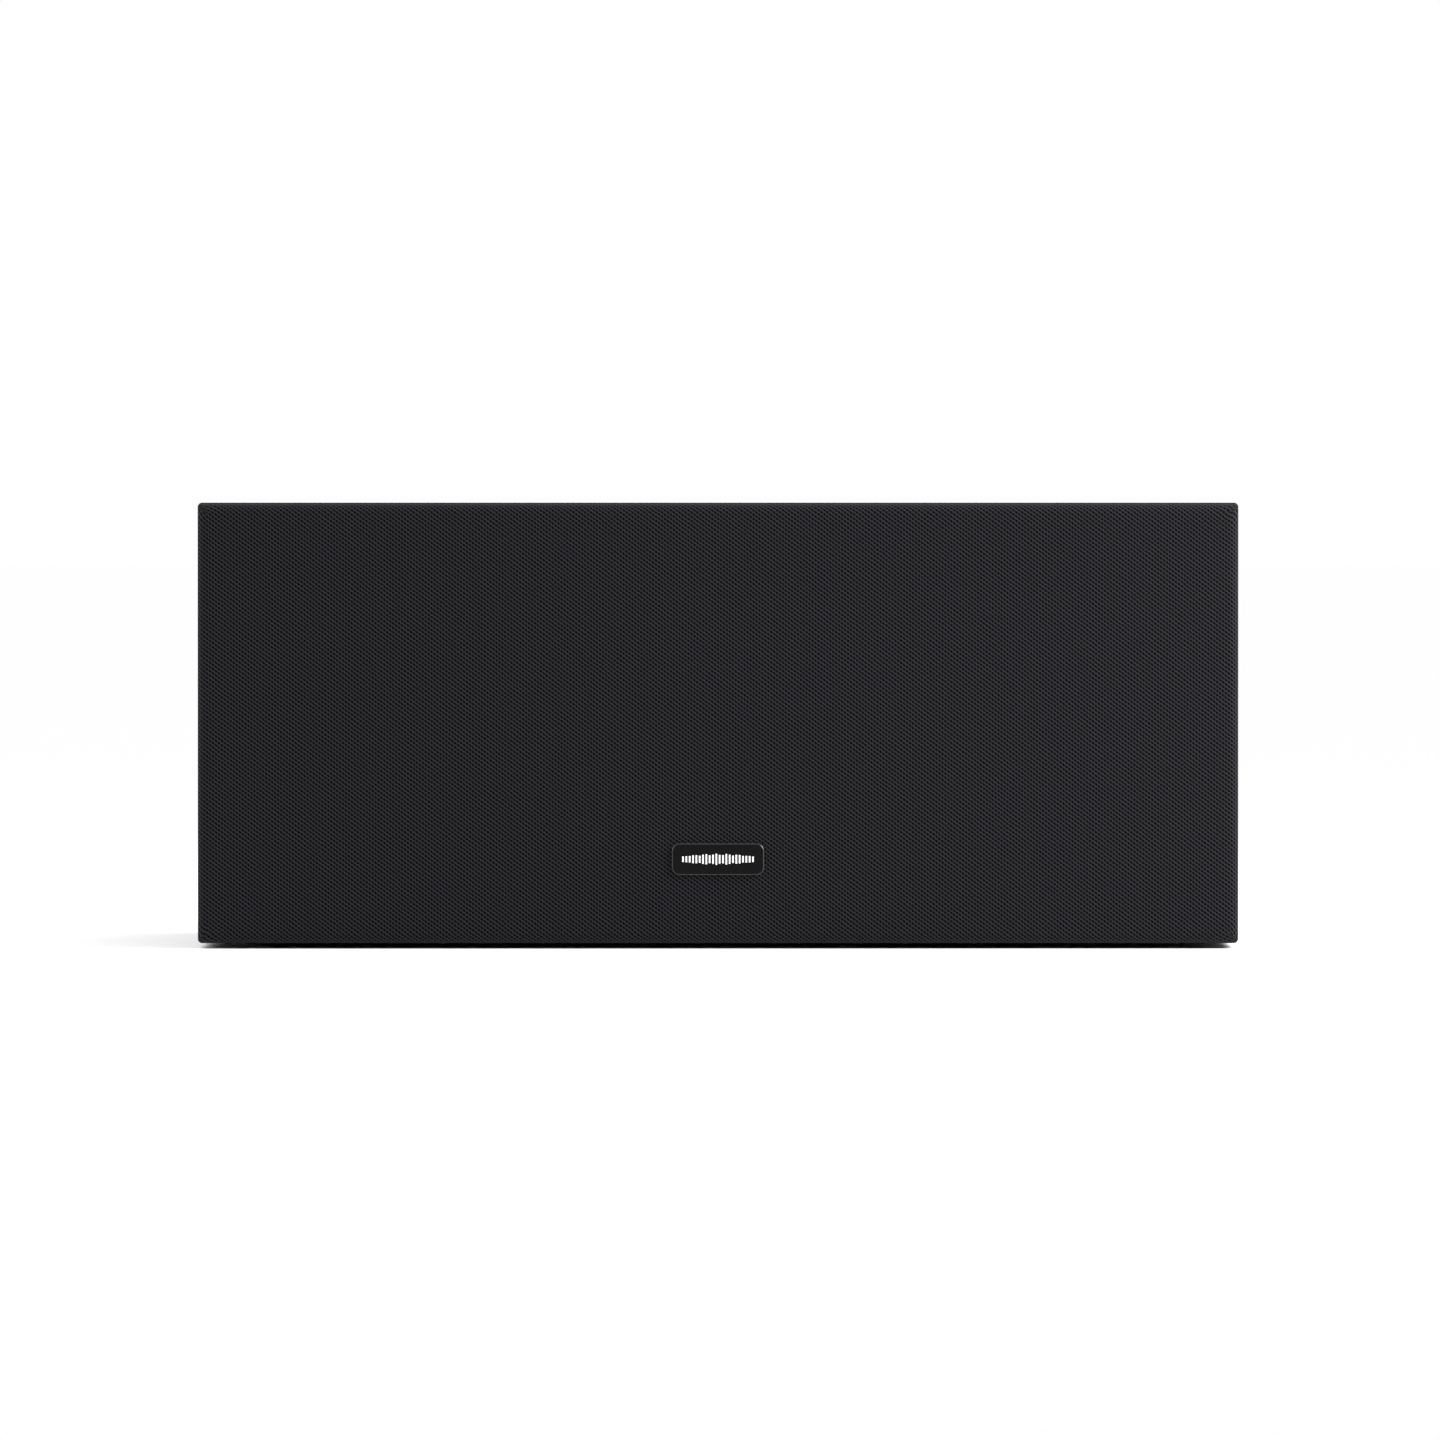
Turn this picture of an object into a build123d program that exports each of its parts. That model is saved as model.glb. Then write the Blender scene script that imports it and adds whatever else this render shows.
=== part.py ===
from build123d import *
import os
from math import pi, radians, sin, tan

# Centre-channel loudspeaker: a black box with two woofers, a dome tweeter, two rear
# ports and one pair of binding posts, behind a cloth grille that pulls off on pegs.
# Millimetres. +X is the speaker's right seen from in front, the front faces -Y, +Z is up.
# The origin is the middle of the footprint, on the surface that the feet stand on.

# --- Cabinet: a mitred sleeve of four panels, a baffle on its front, a back inside it ---
cabinet_width = 470.0
cabinet_height = 199.0
sleeve_depth = 211.0
panel_thickness = 15.0
baffle_thickness = 18.0
back_thickness = 15.0
back_recess = 5.0
cabinet_corner_radius = 2.0
brace_thickness = 12.0
brace_border = 25.0
brace_clearance = 2.0
wadding_thickness = 12.0
wadding_gap = 4.0
foot_radius = 9.0
foot_height = 2.0
foot_inset_x = 35.0
foot_inset_y = 30.0

# --- Grille: a moulded frame, cloth pulled over it, six pegs and a badge ---
grille_margin = 0.5
grille_gap = 0.4
cloth_thickness = 0.6
cloth_fold = 6.0
fold_corner_radius = 2.0
frame_depth = 16.0
frame_edge_radius = 4.0
frame_side_bar = 6.0
frame_long_bar = 14.0
frame_mullion = 8.0
window_margin = 4.9
window_radius = 40.0
badge_width = 41.5
badge_height = 14.2
badge_radius = 3.4
badge_thickness = 1.4
badge_edge = 0.4
badge_rise = 38.4
badge_tab_border = 4.0
badge_tab_thickness = 4.0
peg_radius = 2.5
peg_length = 10.0
peg_root = 4.0
peg_inset_x = 14.0
peg_inset_z = 9.5
peg_clearance = 0.1
socket_radius = 4.5
socket_depth = 12.0
socket_lip_radius = 5.5
socket_lip = 0.3
socket_floor = 1.0

# --- Woofers, measured outwards from the baffle's front face, so inside is negative ---
cone_edge_radius = 54.0
cone_lip = 4.0
roll_lap = 1.0
cone_thickness = 0.9
cone_collar = 3.6
cone_bow_radial = 2.5
cone_bow_axial = 1.6
surround_roll_radius = 5.0
surround_thickness = 0.9
surround_seat_depth = 1.2
surround_seat_width = 6.5
surround_clearance = 0.2
flange_land = 10.5
flange_thickness = 4.5
gasket_thickness = 0.5
gasket_inset = 0.5
rebate_clearance = 0.5
woofer_edge_margin = 12.0
woofer_screw_inset = 5.5
woofer_screw_count = 4
basket_leg_step = 2.0
basket_leg_wall = 4.0
basket_leg_width = 14.0
basket_wall = 3.0
spider_seat_thickness = 2.0
basket_floor_radius = 30.0
cutout_clearance = 1.0
spider_depth = 46.0
spider_seat_inner = 42.0
spider_flap = 4.0
spider_collar = 1.6
spider_thickness = 0.5
spider_swing = 1.2
spider_waves = 5
spider_to_motor = 8.0
spider_to_neck = 6.6
dust_cap_radius = 19.0
dust_cap_rise = 6.5
dust_cap_thickness = 0.7
dust_cap_lift = 9.0
pole_radius = 12.3
pole_rise = 1.0
pole_vent_radius = 4.0
pole_gap = 0.45
former_wall = 0.2
former_lap = 1.4
former_tail = 5.0
winding_wall = 0.6
winding_overhang = 4.0
coil_gap = 0.35
top_plate_thickness = 5.0
motor_plate_radius = 40.0
magnet_inner_radius = 18.0
magnet_radius = 44.0
magnet_thickness = 16.0
yoke_thickness = 5.0

# --- Tweeter ---
dome_radius = 12.85
dome_rise = 4.6
dome_roll_radius = 1.05
diaphragm_thickness = 0.3
tweeter_radius = 52.0
tweeter_throat_gap = 2.55
tweeter_throat_depth = 3.4
tweeter_seat_width = 2.6
tweeter_flare_radius = 30.0
tweeter_screw_inset = 7.0
tweeter_screw_count = 4
tweeter_former_step = 0.4
tweeter_former_wall = 0.2
tweeter_former_length = 4.5
tweeter_winding_wall = 0.3
tweeter_winding_inset = 1.0
tweeter_pole_gap = 0.35
tweeter_pole_drop = 1.0
tweeter_plate_radius = 33.0
tweeter_plate_thickness = 4.0
tweeter_magnet_inner = 16.0
tweeter_magnet_radius = 36.0
tweeter_magnet_thickness = 10.0
tweeter_yoke_thickness = 4.0
tweeter_cutout_clearance = 2.0

# --- Driver terminals: a board with two push-on tabs ---
tab_board_width = 18.0
tab_board_depth = 12.0
tab_board_thickness = 3.0
tab_board_overlap = 2.0
tab_spacing = 10.0
tab_width = 4.0
tab_thickness = 0.8
tab_length = 9.0
tweeter_board_height = 8.0
tweeter_board_depth = 2.5

# --- Ports ---
port_radius = 24.0
port_wall = 2.0
port_length = 105.0
port_flare_radius = 12.0
port_flange_margin = 3.0
port_flange_thickness = 3.0
port_hole_clearance = 0.4
port_from_centre = 150.0

# --- Terminal cup, binding posts and the crossover that hangs on their inner ends ---
cup_rim = 12.0
cup_flange_radius = 8.0
cup_width = 76.0
cup_height = 54.0
cup_radius = 6.0
cup_wall = 2.5
cup_floor = 3.0
cup_depth = 24.0
cup_gasket = 0.8
cup_flange_thickness = 2.4
cup_clearance = 0.5
cup_edge = 0.6
cup_screw_inset = 6.0
post_spacing = 19.05
post_collar_radius = 6.5
post_collar = 2.0
post_thread_radius = 3.5
post_length = 20.0
post_shank_radius = 2.5
post_clearance = 0.05
post_tail = 2.0
banana_radius = 2.0
banana_depth = 19.0
clamp_washer = 1.0
knob_radius = 7.5
knob_cap = 1.4
knob_cap_gap = 0.4
knob_mouth_radius = 2.4
knob_flutes = 16
knob_flute_radius = 0.7
knob_plain_band = 2.0
knob_chamfer = 0.6
nut_across_flats = 8.0
nut_thickness = 4.0
board_width = 90.0
board_height = 62.0
board_thickness = 1.6
board_radius = 2.0

# --- Crossover parts, by their place on the board's front: (x, rise, sizes) ---
inductors = ((-26.5, 13.0, 6.0, 16.0, 16.0), (29.0, -15.0, 4.5, 12.5, 12.0))
capacitors = ((24.0, 20.5, 7.0, 34.0), (-25.0, -12.0, 5.0, 26.0), (-25.0, -24.0, 4.5, 22.0))
resistors = ((6.0, -18.0), (-1.5, 17.5))
resistor_side = 8.0
resistor_length = 24.0

# --- Fasteners: (head radius, head height, shank radius, length) ---
woofer_screw = (4.6, 2.4, 2.0, 17.0)
tweeter_screw = (3.6, 2.0, 1.75, 15.0)
cup_screw = (3.1, 1.8, 1.5, 13.0)
screw_hole_clearance = 0.5
pilot_clearance = 0.05
cross_width = 1.0
cross_depth = 1.1

cable_diameter = 3.2

# --- Places that follow from the sizes above ---
grille_depth = grille_gap + 2 * cloth_thickness + frame_depth
total_depth = badge_thickness + grille_depth + baffle_thickness + sleeve_depth
front_y = -total_depth / 2
baffle_y = front_y + badge_thickness + grille_depth
sleeve_y = baffle_y + baffle_thickness
rear_y = total_depth / 2
back_y = rear_y - back_recess
back_inner_y = back_y - back_thickness
bottom_z = foot_height
middle_z = foot_height + cabinet_height / 2
top_z = foot_height + cabinet_height
inner_half_width = cabinet_width / 2 - panel_thickness
inner_low_z = bottom_z + panel_thickness
inner_high_z = top_z - panel_thickness
cone_lip_radius = cone_edge_radius + cone_lip
roll_middle = cone_lip_radius - roll_lap + surround_roll_radius
surround_seat_inner = roll_middle + surround_roll_radius - roll_lap
surround_seat_outer = surround_seat_inner + surround_seat_width
woofer_radius = surround_seat_outer + flange_land
woofer_screw_circle = woofer_radius - woofer_screw_inset
basket_leg_radius = surround_seat_inner + basket_leg_step
woofer_cutout_radius = basket_leg_radius + basket_leg_wall + cutout_clearance
basket_rear_radius = spider_seat_inner + spider_flap + basket_leg_wall
woofer_x = cabinet_width / 2 - woofer_edge_margin - woofer_radius
rebate_depth = flange_thickness + gasket_thickness
brace_x = woofer_x - woofer_cutout_radius - brace_clearance - brace_thickness / 2
peg_x = cabinet_width / 2 - peg_inset_x
peg_rise = cabinet_height / 2 - peg_inset_z
former_inner_radius = pole_radius + pole_gap
former_radius = former_inner_radius + former_wall
winding_radius = former_radius + winding_wall
cone_neck_depth = spider_depth - spider_to_neck
top_plate_depth = spider_depth + spider_to_motor
magnet_depth = top_plate_depth + top_plate_thickness
yoke_depth = magnet_depth + magnet_thickness
tweeter_throat_radius = dome_radius + tweeter_throat_gap
tweeter_seat_radius = tweeter_throat_radius + tweeter_seat_width
tweeter_screw_circle = tweeter_radius - tweeter_screw_inset
tweeter_cutout_radius = tweeter_magnet_radius + tweeter_cutout_clearance
tweeter_former_inner = dome_radius - tweeter_former_step
tweeter_former_outer = tweeter_former_inner + tweeter_former_wall
tweeter_winding_radius = tweeter_former_outer + tweeter_winding_wall
tweeter_pole_radius = tweeter_former_inner - tweeter_pole_gap
tweeter_tab_drop = (tweeter_magnet_inner + tweeter_plate_radius) / 2
tweeter_magnet_depth = flange_thickness + tweeter_plate_thickness
tweeter_yoke_depth = tweeter_magnet_depth + tweeter_magnet_thickness
tweeter_rear_depth = tweeter_yoke_depth + tweeter_yoke_thickness
cup_flange_width = cup_width + 2 * cup_rim
cup_flange_height = cup_height + 2 * cup_rim
cup_screw_x = cup_flange_width / 2 - cup_screw_inset
cup_screw_z = cup_flange_height / 2 - cup_screw_inset
cup_face = cup_gasket + cup_flange_thickness
cup_floor_y = rear_y - cup_depth
board_y = cup_floor_y - cup_floor - nut_thickness - board_thickness

UP = (Align.CENTER, Align.CENTER, Align.MIN)


def disc(radius, low, high):
    """A cylinder about Z between two heights."""
    return Pos(0, 0, low) * Cylinder(radius, high - low, align=UP)


def ring(inner, outer, low, high):
    """A plain ring about Z between two heights."""
    return disc(outer, low, high) - disc(inner, low - 1, high + 1)


def turned(*corners):
    """A solid of revolution about Z from an outline of (radius, height) corners."""
    outline = Polyline(*corners, close=True)
    return revolve(Plane.XZ * make_face(outline), Axis.Z)


def block(low, high):
    """A box between two opposite corners."""
    size = [b - a for a, b in zip(low, high)]
    return Pos(*low) * Box(*size, align=Align.MIN)


def rounded_plate(width, height, radius, low, high):
    """A plate with rounded corners, standing on the XY plane between two heights."""
    return Pos(0, 0, low) * extrude(RectangleRounded(width, height, radius), high - low)


def group(solids):
    """Separate solids kept side by side in one node."""
    return Compound([solid for shape in solids for solid in shape.solids()])


def on_baffle(x, rise=0.0):
    """From a part's own frame, with +Z outwards, to the baffle's front face."""
    return Location((x, baffle_y, middle_z + rise), (90, 0, 0))


def on_back(y, x=0.0, rise=0.0):
    """From a part's own frame, with +Z outwards, to a plane that faces the rear."""
    return Location((x, y, middle_z + rise), (-90, 0, 0))


def corners_of(half_x, half_z):
    """The four corners of a centred rectangle."""
    return [(x, z) for x in (-half_x, half_x) for z in (-half_z, half_z)]


def screw_places(circle, count):
    """Places round a screw circle, half a step away from the axes."""
    return PolarLocations(circle, count, start_angle=180.0 / count)


def cross_head_screw(head_radius, head_height, shank_radius, length):
    """A pan-head screw that stands on Z = 0, with a cross recess."""
    head = disc(head_radius, 0, head_height)
    head = fillet(head.edges().group_by(Axis.Z)[-1], head_height * 0.45)
    arm = head_radius * 1.1
    low = head_height - cross_depth
    for size in ((arm, cross_width), (cross_width, arm)):
        head -= Pos(0, 0, low) * Box(*size, 2 * cross_depth, align=UP)
    tip = shank_radius * 1.5
    shank = disc(shank_radius, tip - length, 0)
    point = Pos(0, 0, -length) * Cone(0.3, shank_radius, tip, align=UP)
    return head + shank + point


def cable(points, diameter):
    """A round cable along straight runs that are joined by the widest arcs that fit."""
    path = [Vector(*p) for p in points]
    radii = []
    for before, here, after in zip(path, path[1:], path[2:]):
        run_in, run_out = here - before, after - here
        half_turn = radians(run_in.get_angle(run_out)) / 2
        radii.append(0.45 * min(run_in.length, run_out.length) / tan(half_turn))
    line = FilletPolyline(*path, radius=radii)
    tube = sweep(Plane(path[0], z_dir=path[1] - path[0]) * Circle(diameter / 2), line)
    expected = pi * diameter**2 / 4 * line.length
    print(f"cable {line.length:.0f} mm, radii {[round(r) for r in radii]}, "
          f"volume ratio {tube.volume / expected:.4f}")
    return tube


# --- Cabinet pieces ---

def sleeve_panels():
    """Four wrapped panels that meet at 45 degree mitres."""
    outer = RectangleRounded(cabinet_width, cabinet_height, cabinet_corner_radius)
    inner = Rectangle(2 * inner_half_width, inner_high_z - inner_low_z)
    sleeve = extrude(outer - inner, sleeve_depth)
    w, h = cabinet_width / 2, cabinet_height / 2
    iw, ih = w - panel_thickness, h - panel_thickness
    outlines = {
        "top_panel": [(-w, h), (w, h), (iw, ih), (-iw, ih)],
        "bottom_panel": [(-w, -h), (w, -h), (iw, -ih), (-iw, -ih)],
        "left_panel": [(-w, h), (-w, -h), (-iw, -ih), (-iw, ih)],
        "right_panel": [(w, h), (w, -h), (iw, -ih), (iw, ih)],
    }
    place = Location((0, rear_y, middle_z), (90, 0, 0))
    panels = {}
    for name, outline in outlines.items():
        side = extrude(make_face(Polyline(*outline, close=True)), sleeve_depth)
        panels[name] = place * (sleeve & side)
    return panels


def peg_places():
    """The six grille pegs: four corners, and one above and below the tweeter."""
    return corners_of(peg_x, peg_rise) + [(0, -peg_rise), (0, peg_rise)]


def front_baffle():
    """The painted board that carries the drivers, with a rebate round each cut-out."""
    board = rounded_plate(cabinet_width, cabinet_height, cabinet_corner_radius,
                          -baffle_thickness, 0)
    for x in (-woofer_x, woofer_x):
        hole = disc(woofer_cutout_radius, -baffle_thickness - 1, 1)
        hole += disc(woofer_radius + rebate_clearance, -rebate_depth, 1)
        board -= Pos(x, 0) * hole
        pilot = disc(woofer_screw[2] + pilot_clearance, -baffle_thickness - 1, 0)
        board -= [Pos(x, 0) * p * pilot for p in screw_places(woofer_screw_circle, woofer_screw_count)]
    board -= disc(tweeter_cutout_radius, -baffle_thickness - 1, 1)
    board -= disc(tweeter_radius + rebate_clearance, -rebate_depth, 1)
    pilot = disc(tweeter_screw[2] + pilot_clearance, -baffle_thickness - 1, 0)
    board -= [p * pilot for p in screw_places(tweeter_screw_circle, tweeter_screw_count)]
    for x, z in peg_places():
        board -= Pos(x, z) * disc(socket_radius, -socket_depth, 1)
    return on_baffle(0) * board


def grille_sockets():
    """Rubber cups let into the baffle, which grip the grille's pegs."""
    cup = disc(socket_radius, -socket_depth, 0) + disc(socket_lip_radius, 0, socket_lip)
    cup -= disc(peg_radius + peg_clearance, socket_floor - socket_depth, socket_lip + 1)
    return group(on_baffle(x, z) * cup for x, z in peg_places())


def back_panel():
    """The board inside the sleeve's rear, cut out for the ports and the terminal cup."""
    board = Pos(0, 0, -back_thickness) * Box(
        2 * inner_half_width, inner_high_z - inner_low_z, back_thickness, align=UP)
    grown = 2 * (cup_wall + cup_clearance)
    board -= rounded_plate(cup_width + grown, cup_height + grown, cup_radius + grown / 2,
                           -back_thickness - 1, 1)
    for x in (-port_from_centre, port_from_centre):
        board -= Pos(x, 0) * disc(port_outer_radius(0) + port_hole_clearance,
                                  -back_thickness - 1, 1)
    for x, z in corners_of(cup_screw_x, cup_screw_z):
        board -= Pos(x, z) * disc(cup_screw[2] + pilot_clearance, -back_thickness - 1, 1)
    return on_back(back_y) * board


def cabinet_braces():
    """Two boards from baffle to back, with a window, that stiffen the long panels."""
    low, high = (sleeve_y, inner_low_z), (back_inner_y, inner_high_z)
    braces = []
    for x in (-brace_x, brace_x):
        near, far = x - brace_thickness / 2, x + brace_thickness / 2
        board = block((near, *low), (far, *high))
        board -= block((near - 1, low[0] + brace_border, low[1] + brace_border),
                       (far + 1, high[0] - brace_border, high[1] - brace_border))
        braces.append(board)
    return group(braces)


def acoustic_wadding():
    """Felt-like pads on the top and bottom of the two woofer chambers."""
    pads = []
    near = brace_x + brace_thickness / 2 + wadding_gap
    far = inner_half_width - wadding_gap
    for low_x, high_x in ((-far, -near), (near, far)):
        for low_z in (inner_low_z, inner_high_z - wadding_thickness):
            pads.append(block((low_x, sleeve_y + wadding_gap, low_z),
                              (high_x, back_inner_y - wadding_gap, low_z + wadding_thickness)))
    return group(pads)


def rubber_feet():
    """Four stick-on discs, a little in from the corners of the sleeve."""
    foot = disc(foot_radius, 0, foot_height)
    foot = fillet(foot.edges().group_by(Axis.Z)[0], foot_height / 3)
    half_x = cabinet_width / 2 - foot_inset_x
    ends = (baffle_y + foot_inset_y, rear_y - foot_inset_y)
    return group(Pos(x, y) * foot for x in (-half_x, half_x) for y in ends)


# --- Ports ---

def port_outer_radius(height):
    """The outer wall's radius of the flared mouth at a height over the back panel."""
    centre = port_radius + port_flare_radius
    outer = port_flare_radius - port_wall
    drop = height + (port_flare_radius - port_flange_thickness)
    return centre - (outer**2 - drop**2) ** 0.5


def port_tube():
    """A tube with a flared mouth, whose flange lies on the back panel."""
    mouth = port_flange_thickness
    throat = mouth - port_flare_radius
    inner_end = mouth - port_length
    centre = port_radius + port_flare_radius
    wide = centre + port_flange_margin
    slant = port_flare_radius * sin(pi / 4)
    inside = Line((port_radius, inner_end), (port_radius, throat))
    flare = ThreePointArc((port_radius, throat), (centre - slant, throat + slant),
                          (centre, mouth))
    rim = Polyline((centre, mouth), (wide, mouth), (wide, 0), (port_outer_radius(0), 0))
    hidden = port_flare_radius - port_wall
    start = port_outer_radius(0)
    middle_height = throat / 2
    outside = ThreePointArc((start, 0), (port_outer_radius(middle_height), middle_height),
                            (centre - hidden, throat))
    tail = Polyline((centre - hidden, throat), (port_radius + port_wall, inner_end),
                    (port_radius, inner_end))
    face = make_face(inside + flare + rim + outside + tail)
    return revolve(Plane.XZ * face, Axis.Z)


# --- Woofer pieces, each about Z with the baffle's front at Z = 0 ---

def basket():
    """The cast frame: flange, six legs, the spider's seat and the floor on the motor."""
    flange = turned((surround_seat_inner, -flange_thickness), (woofer_radius, -flange_thickness),
                    (woofer_radius, 0), (surround_seat_outer, 0),
                    (surround_seat_outer, -surround_seat_depth),
                    (surround_seat_inner, -surround_seat_depth))
    leg_foot = -(spider_depth + basket_wall)
    wall = turned((basket_leg_radius, -flange_thickness),
                  (basket_leg_radius + basket_leg_wall, -flange_thickness),
                  (basket_rear_radius, leg_foot),
                  (basket_rear_radius - basket_leg_wall, leg_foot))
    bar = Pos(0, 0, leg_foot) * Box(2 * woofer_radius, basket_leg_width, -leg_foot, align=UP)
    legs = wall & (Rot(0, 0, 30) * bar + Rot(0, 0, 90) * bar + Rot(0, 0, 150) * bar)
    seat_back = -(spider_depth + spider_seat_thickness)
    floor_front = -(top_plate_depth - basket_wall)
    inside = basket_rear_radius - basket_wall
    rear = turned((spider_seat_inner, -spider_depth), (basket_rear_radius, -spider_depth),
                  (basket_rear_radius, -top_plate_depth), (basket_floor_radius, -top_plate_depth),
                  (basket_floor_radius, floor_front), (inside, floor_front),
                  (inside, seat_back), (spider_seat_inner, seat_back))
    frame = flange + legs + rear
    hole = disc(woofer_screw[2] + screw_hole_clearance, -flange_thickness - 1, 1)
    return frame - [p * hole for p in screw_places(woofer_screw_circle, woofer_screw_count)]


def cone_arc(drop):
    """The cone's curved generator, from the neck to the flat lip, lowered by drop."""
    neck = (former_radius + drop, -cone_neck_depth - 2 * drop)
    edge = (cone_edge_radius + drop / 3, -surround_seat_depth - drop)
    middle = ((neck[0] + edge[0] + drop) / 2 - cone_bow_radial,
              (neck[1] + edge[1]) / 2 + cone_bow_axial)
    return neck, edge, ThreePointArc(neck, middle, edge)


def cone():
    """A shallow curved shell with a flat lip and a collar that grips the coil's former."""
    neck, edge, front = cone_arc(0)
    back_neck, back_edge, back = cone_arc(cone_thickness)
    collar_end = -cone_neck_depth - cone_collar
    lip = Polyline(edge, (cone_lip_radius, edge[1]), (cone_lip_radius, back_edge[1]), back_edge)
    collar = Polyline(back_neck, (back_neck[0], collar_end), (neck[0], collar_end), neck)
    return revolve(Plane.XZ * make_face(front + lip + back + collar), Axis.Z)


def dust_cap():
    """A domed cap glued on the cone's front over the coil."""
    sphere_radius = (dust_cap_radius**2 + dust_cap_rise**2) / (2 * dust_cap_rise)
    neck, edge, front = cone_arc(0)
    under = Polyline(edge, (edge[0], -2 * cone_neck_depth), (0, -2 * cone_neck_depth),
                     (0, neck[1]), neck)
    behind_cone = revolve(Plane.XZ * make_face(front + under), Axis.Z)
    seat = -cone_neck_depth + dust_cap_lift
    centre = Pos(0, 0, seat + dust_cap_rise - sphere_radius)
    shell = centre * (Sphere(sphere_radius) - Sphere(sphere_radius - dust_cap_thickness))
    cap = (shell & disc(dust_cap_radius + 2, seat - 4, seat + 2 * dust_cap_rise)) - behind_cone
    return cap.solids().sort_by(Axis.Z)[-1]


def voice_coil():
    """The thin former and the copper winding round it."""
    return group([ring(former_inner_radius, former_radius,
                       -magnet_depth - former_tail, -cone_neck_depth + former_lap),
                  ring(former_radius, winding_radius,
                       -magnet_depth - winding_overhang, -top_plate_depth + winding_overhang)])


def surround():
    """A half-roll of rubber between the cone's lip and the basket's seat."""
    base = -surround_seat_depth
    half = surround_thickness / 2
    roll = Circle(surround_roll_radius + half) - Circle(surround_roll_radius - half)
    roll &= Pos(0, surround_roll_radius) * Rectangle(4 * surround_roll_radius,
                                                     2 * surround_roll_radius)
    section = Pos(roll_middle, base) * roll
    flaps = ((cone_edge_radius, roll_middle - surround_roll_radius),
             (roll_middle + surround_roll_radius, surround_seat_outer - surround_clearance))
    for inner, outer in flaps:
        section += Pos((inner + outer) / 2, base + half) * Rectangle(outer - inner, 2 * half)
    return revolve(Plane.XZ * section, Axis.Z)


def spider():
    """The corrugated disc that centres the coil, in a row of even waves."""
    collar = former_radius + spider_collar
    middle = -spider_depth + spider_thickness / 2
    steps = 8 * spider_waves
    wave = []
    for i in range(steps + 1):
        share = i / steps
        radius = collar + (spider_seat_inner - collar) * share
        wave.append((radius, middle + spider_swing * sin(2 * pi * spider_waves * share)))
    half = spider_thickness / 2
    outer = spider_seat_inner + spider_flap
    line = [(former_radius, middle), *wave, (outer, middle)]
    above = [(r, z + half) for r, z in line]
    below = [(r, z - half) for r, z in reversed(line)]
    return turned(*above, *below)


def woofer_top_plate():
    hole = winding_radius + coil_gap
    return ring(hole, motor_plate_radius, -magnet_depth, -top_plate_depth)


def woofer_magnet():
    return ring(magnet_inner_radius, magnet_radius, -yoke_depth, -magnet_depth)


def woofer_yoke():
    """The rear plate with its vented pole, one forging."""
    plate = disc(motor_plate_radius, -yoke_depth - yoke_thickness, -yoke_depth)
    pole = disc(pole_radius, -yoke_depth, -top_plate_depth + pole_rise)
    return plate + pole - disc(pole_vent_radius, -yoke_depth - yoke_thickness - 1, 0)


def tab_board(width, height, thickness):
    """A terminal board standing on Z = 0 with two push-on tabs beyond it."""
    blade = Pos(0, 0, thickness) * Box(tab_thickness, tab_width, tab_length, align=UP)
    return [Box(width, height, thickness, align=UP),
            Pos(0, -tab_spacing / 2) * blade, Pos(0, tab_spacing / 2) * blade]


def driver_terminals():
    """The three terminal boards: one on each woofer's inner side, one on the tweeter."""
    pieces = []
    front = -top_plate_depth + tab_board_depth
    centre = basket_rear_radius + (tab_board_thickness - tab_board_overlap) / 2
    for x, side in ((-woofer_x, 1), (woofer_x, -1)):
        strip = tab_board(tab_board_thickness + tab_board_overlap, tab_board_width, tab_board_depth)
        placed = [Pos(side * centre, 0, front) * Rot(180, 0, 0) * piece for piece in strip]
        placed[0] -= disc(basket_rear_radius, -yoke_depth, 0)
        pieces += [on_baffle(x) * piece for piece in placed]
    turn = Pos(0, -tweeter_tab_drop, -tweeter_rear_depth) * Rot(180, 0, 90)
    pieces += [on_baffle(0) * turn * piece
               for piece in tab_board(tweeter_board_height, tab_board_width, tweeter_board_depth)]
    return group(pieces)


def driver_gaskets():
    """Foam rings under the woofers, the tweeter and the terminal cup."""
    low = -rebate_depth
    high = low + gasket_thickness
    woofer = ring(woofer_cutout_radius + gasket_inset, woofer_radius - gasket_inset, low, high)
    hole = disc(woofer_screw[2] + screw_hole_clearance, low - 1, 0)
    woofer -= [p * hole for p in screw_places(woofer_screw_circle, woofer_screw_count)]
    tweeter = ring(tweeter_cutout_radius + gasket_inset, tweeter_radius - gasket_inset, low, high)
    hole = disc(tweeter_screw[2] + screw_hole_clearance, low - 1, 0)
    tweeter -= [p * hole for p in screw_places(tweeter_screw_circle, tweeter_screw_count)]
    grown = 2 * (cup_wall + cup_clearance)
    cup = rounded_plate(cup_flange_width - 2 * gasket_inset, cup_flange_height - 2 * gasket_inset,
                        cup_flange_radius, 0, cup_gasket)
    cup -= rounded_plate(cup_width + grown, cup_height + grown, cup_radius + grown / 2, -1, 2)
    for x, z in corners_of(cup_screw_x, cup_screw_z):
        cup -= Pos(x, z) * disc(cup_screw[2] + screw_hole_clearance, -1, 2)
    return group([on_baffle(-woofer_x) * woofer, on_baffle(woofer_x) * woofer,
                  on_baffle(0) * tweeter, on_back(back_y) * cup])


def woofer_screws():
    places = screw_places(woofer_screw_circle, woofer_screw_count)
    screw = cross_head_screw(*woofer_screw)
    return group(on_baffle(x) * p * screw for x in (-woofer_x, woofer_x) for p in places)


# --- Tweeter pieces ---

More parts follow.
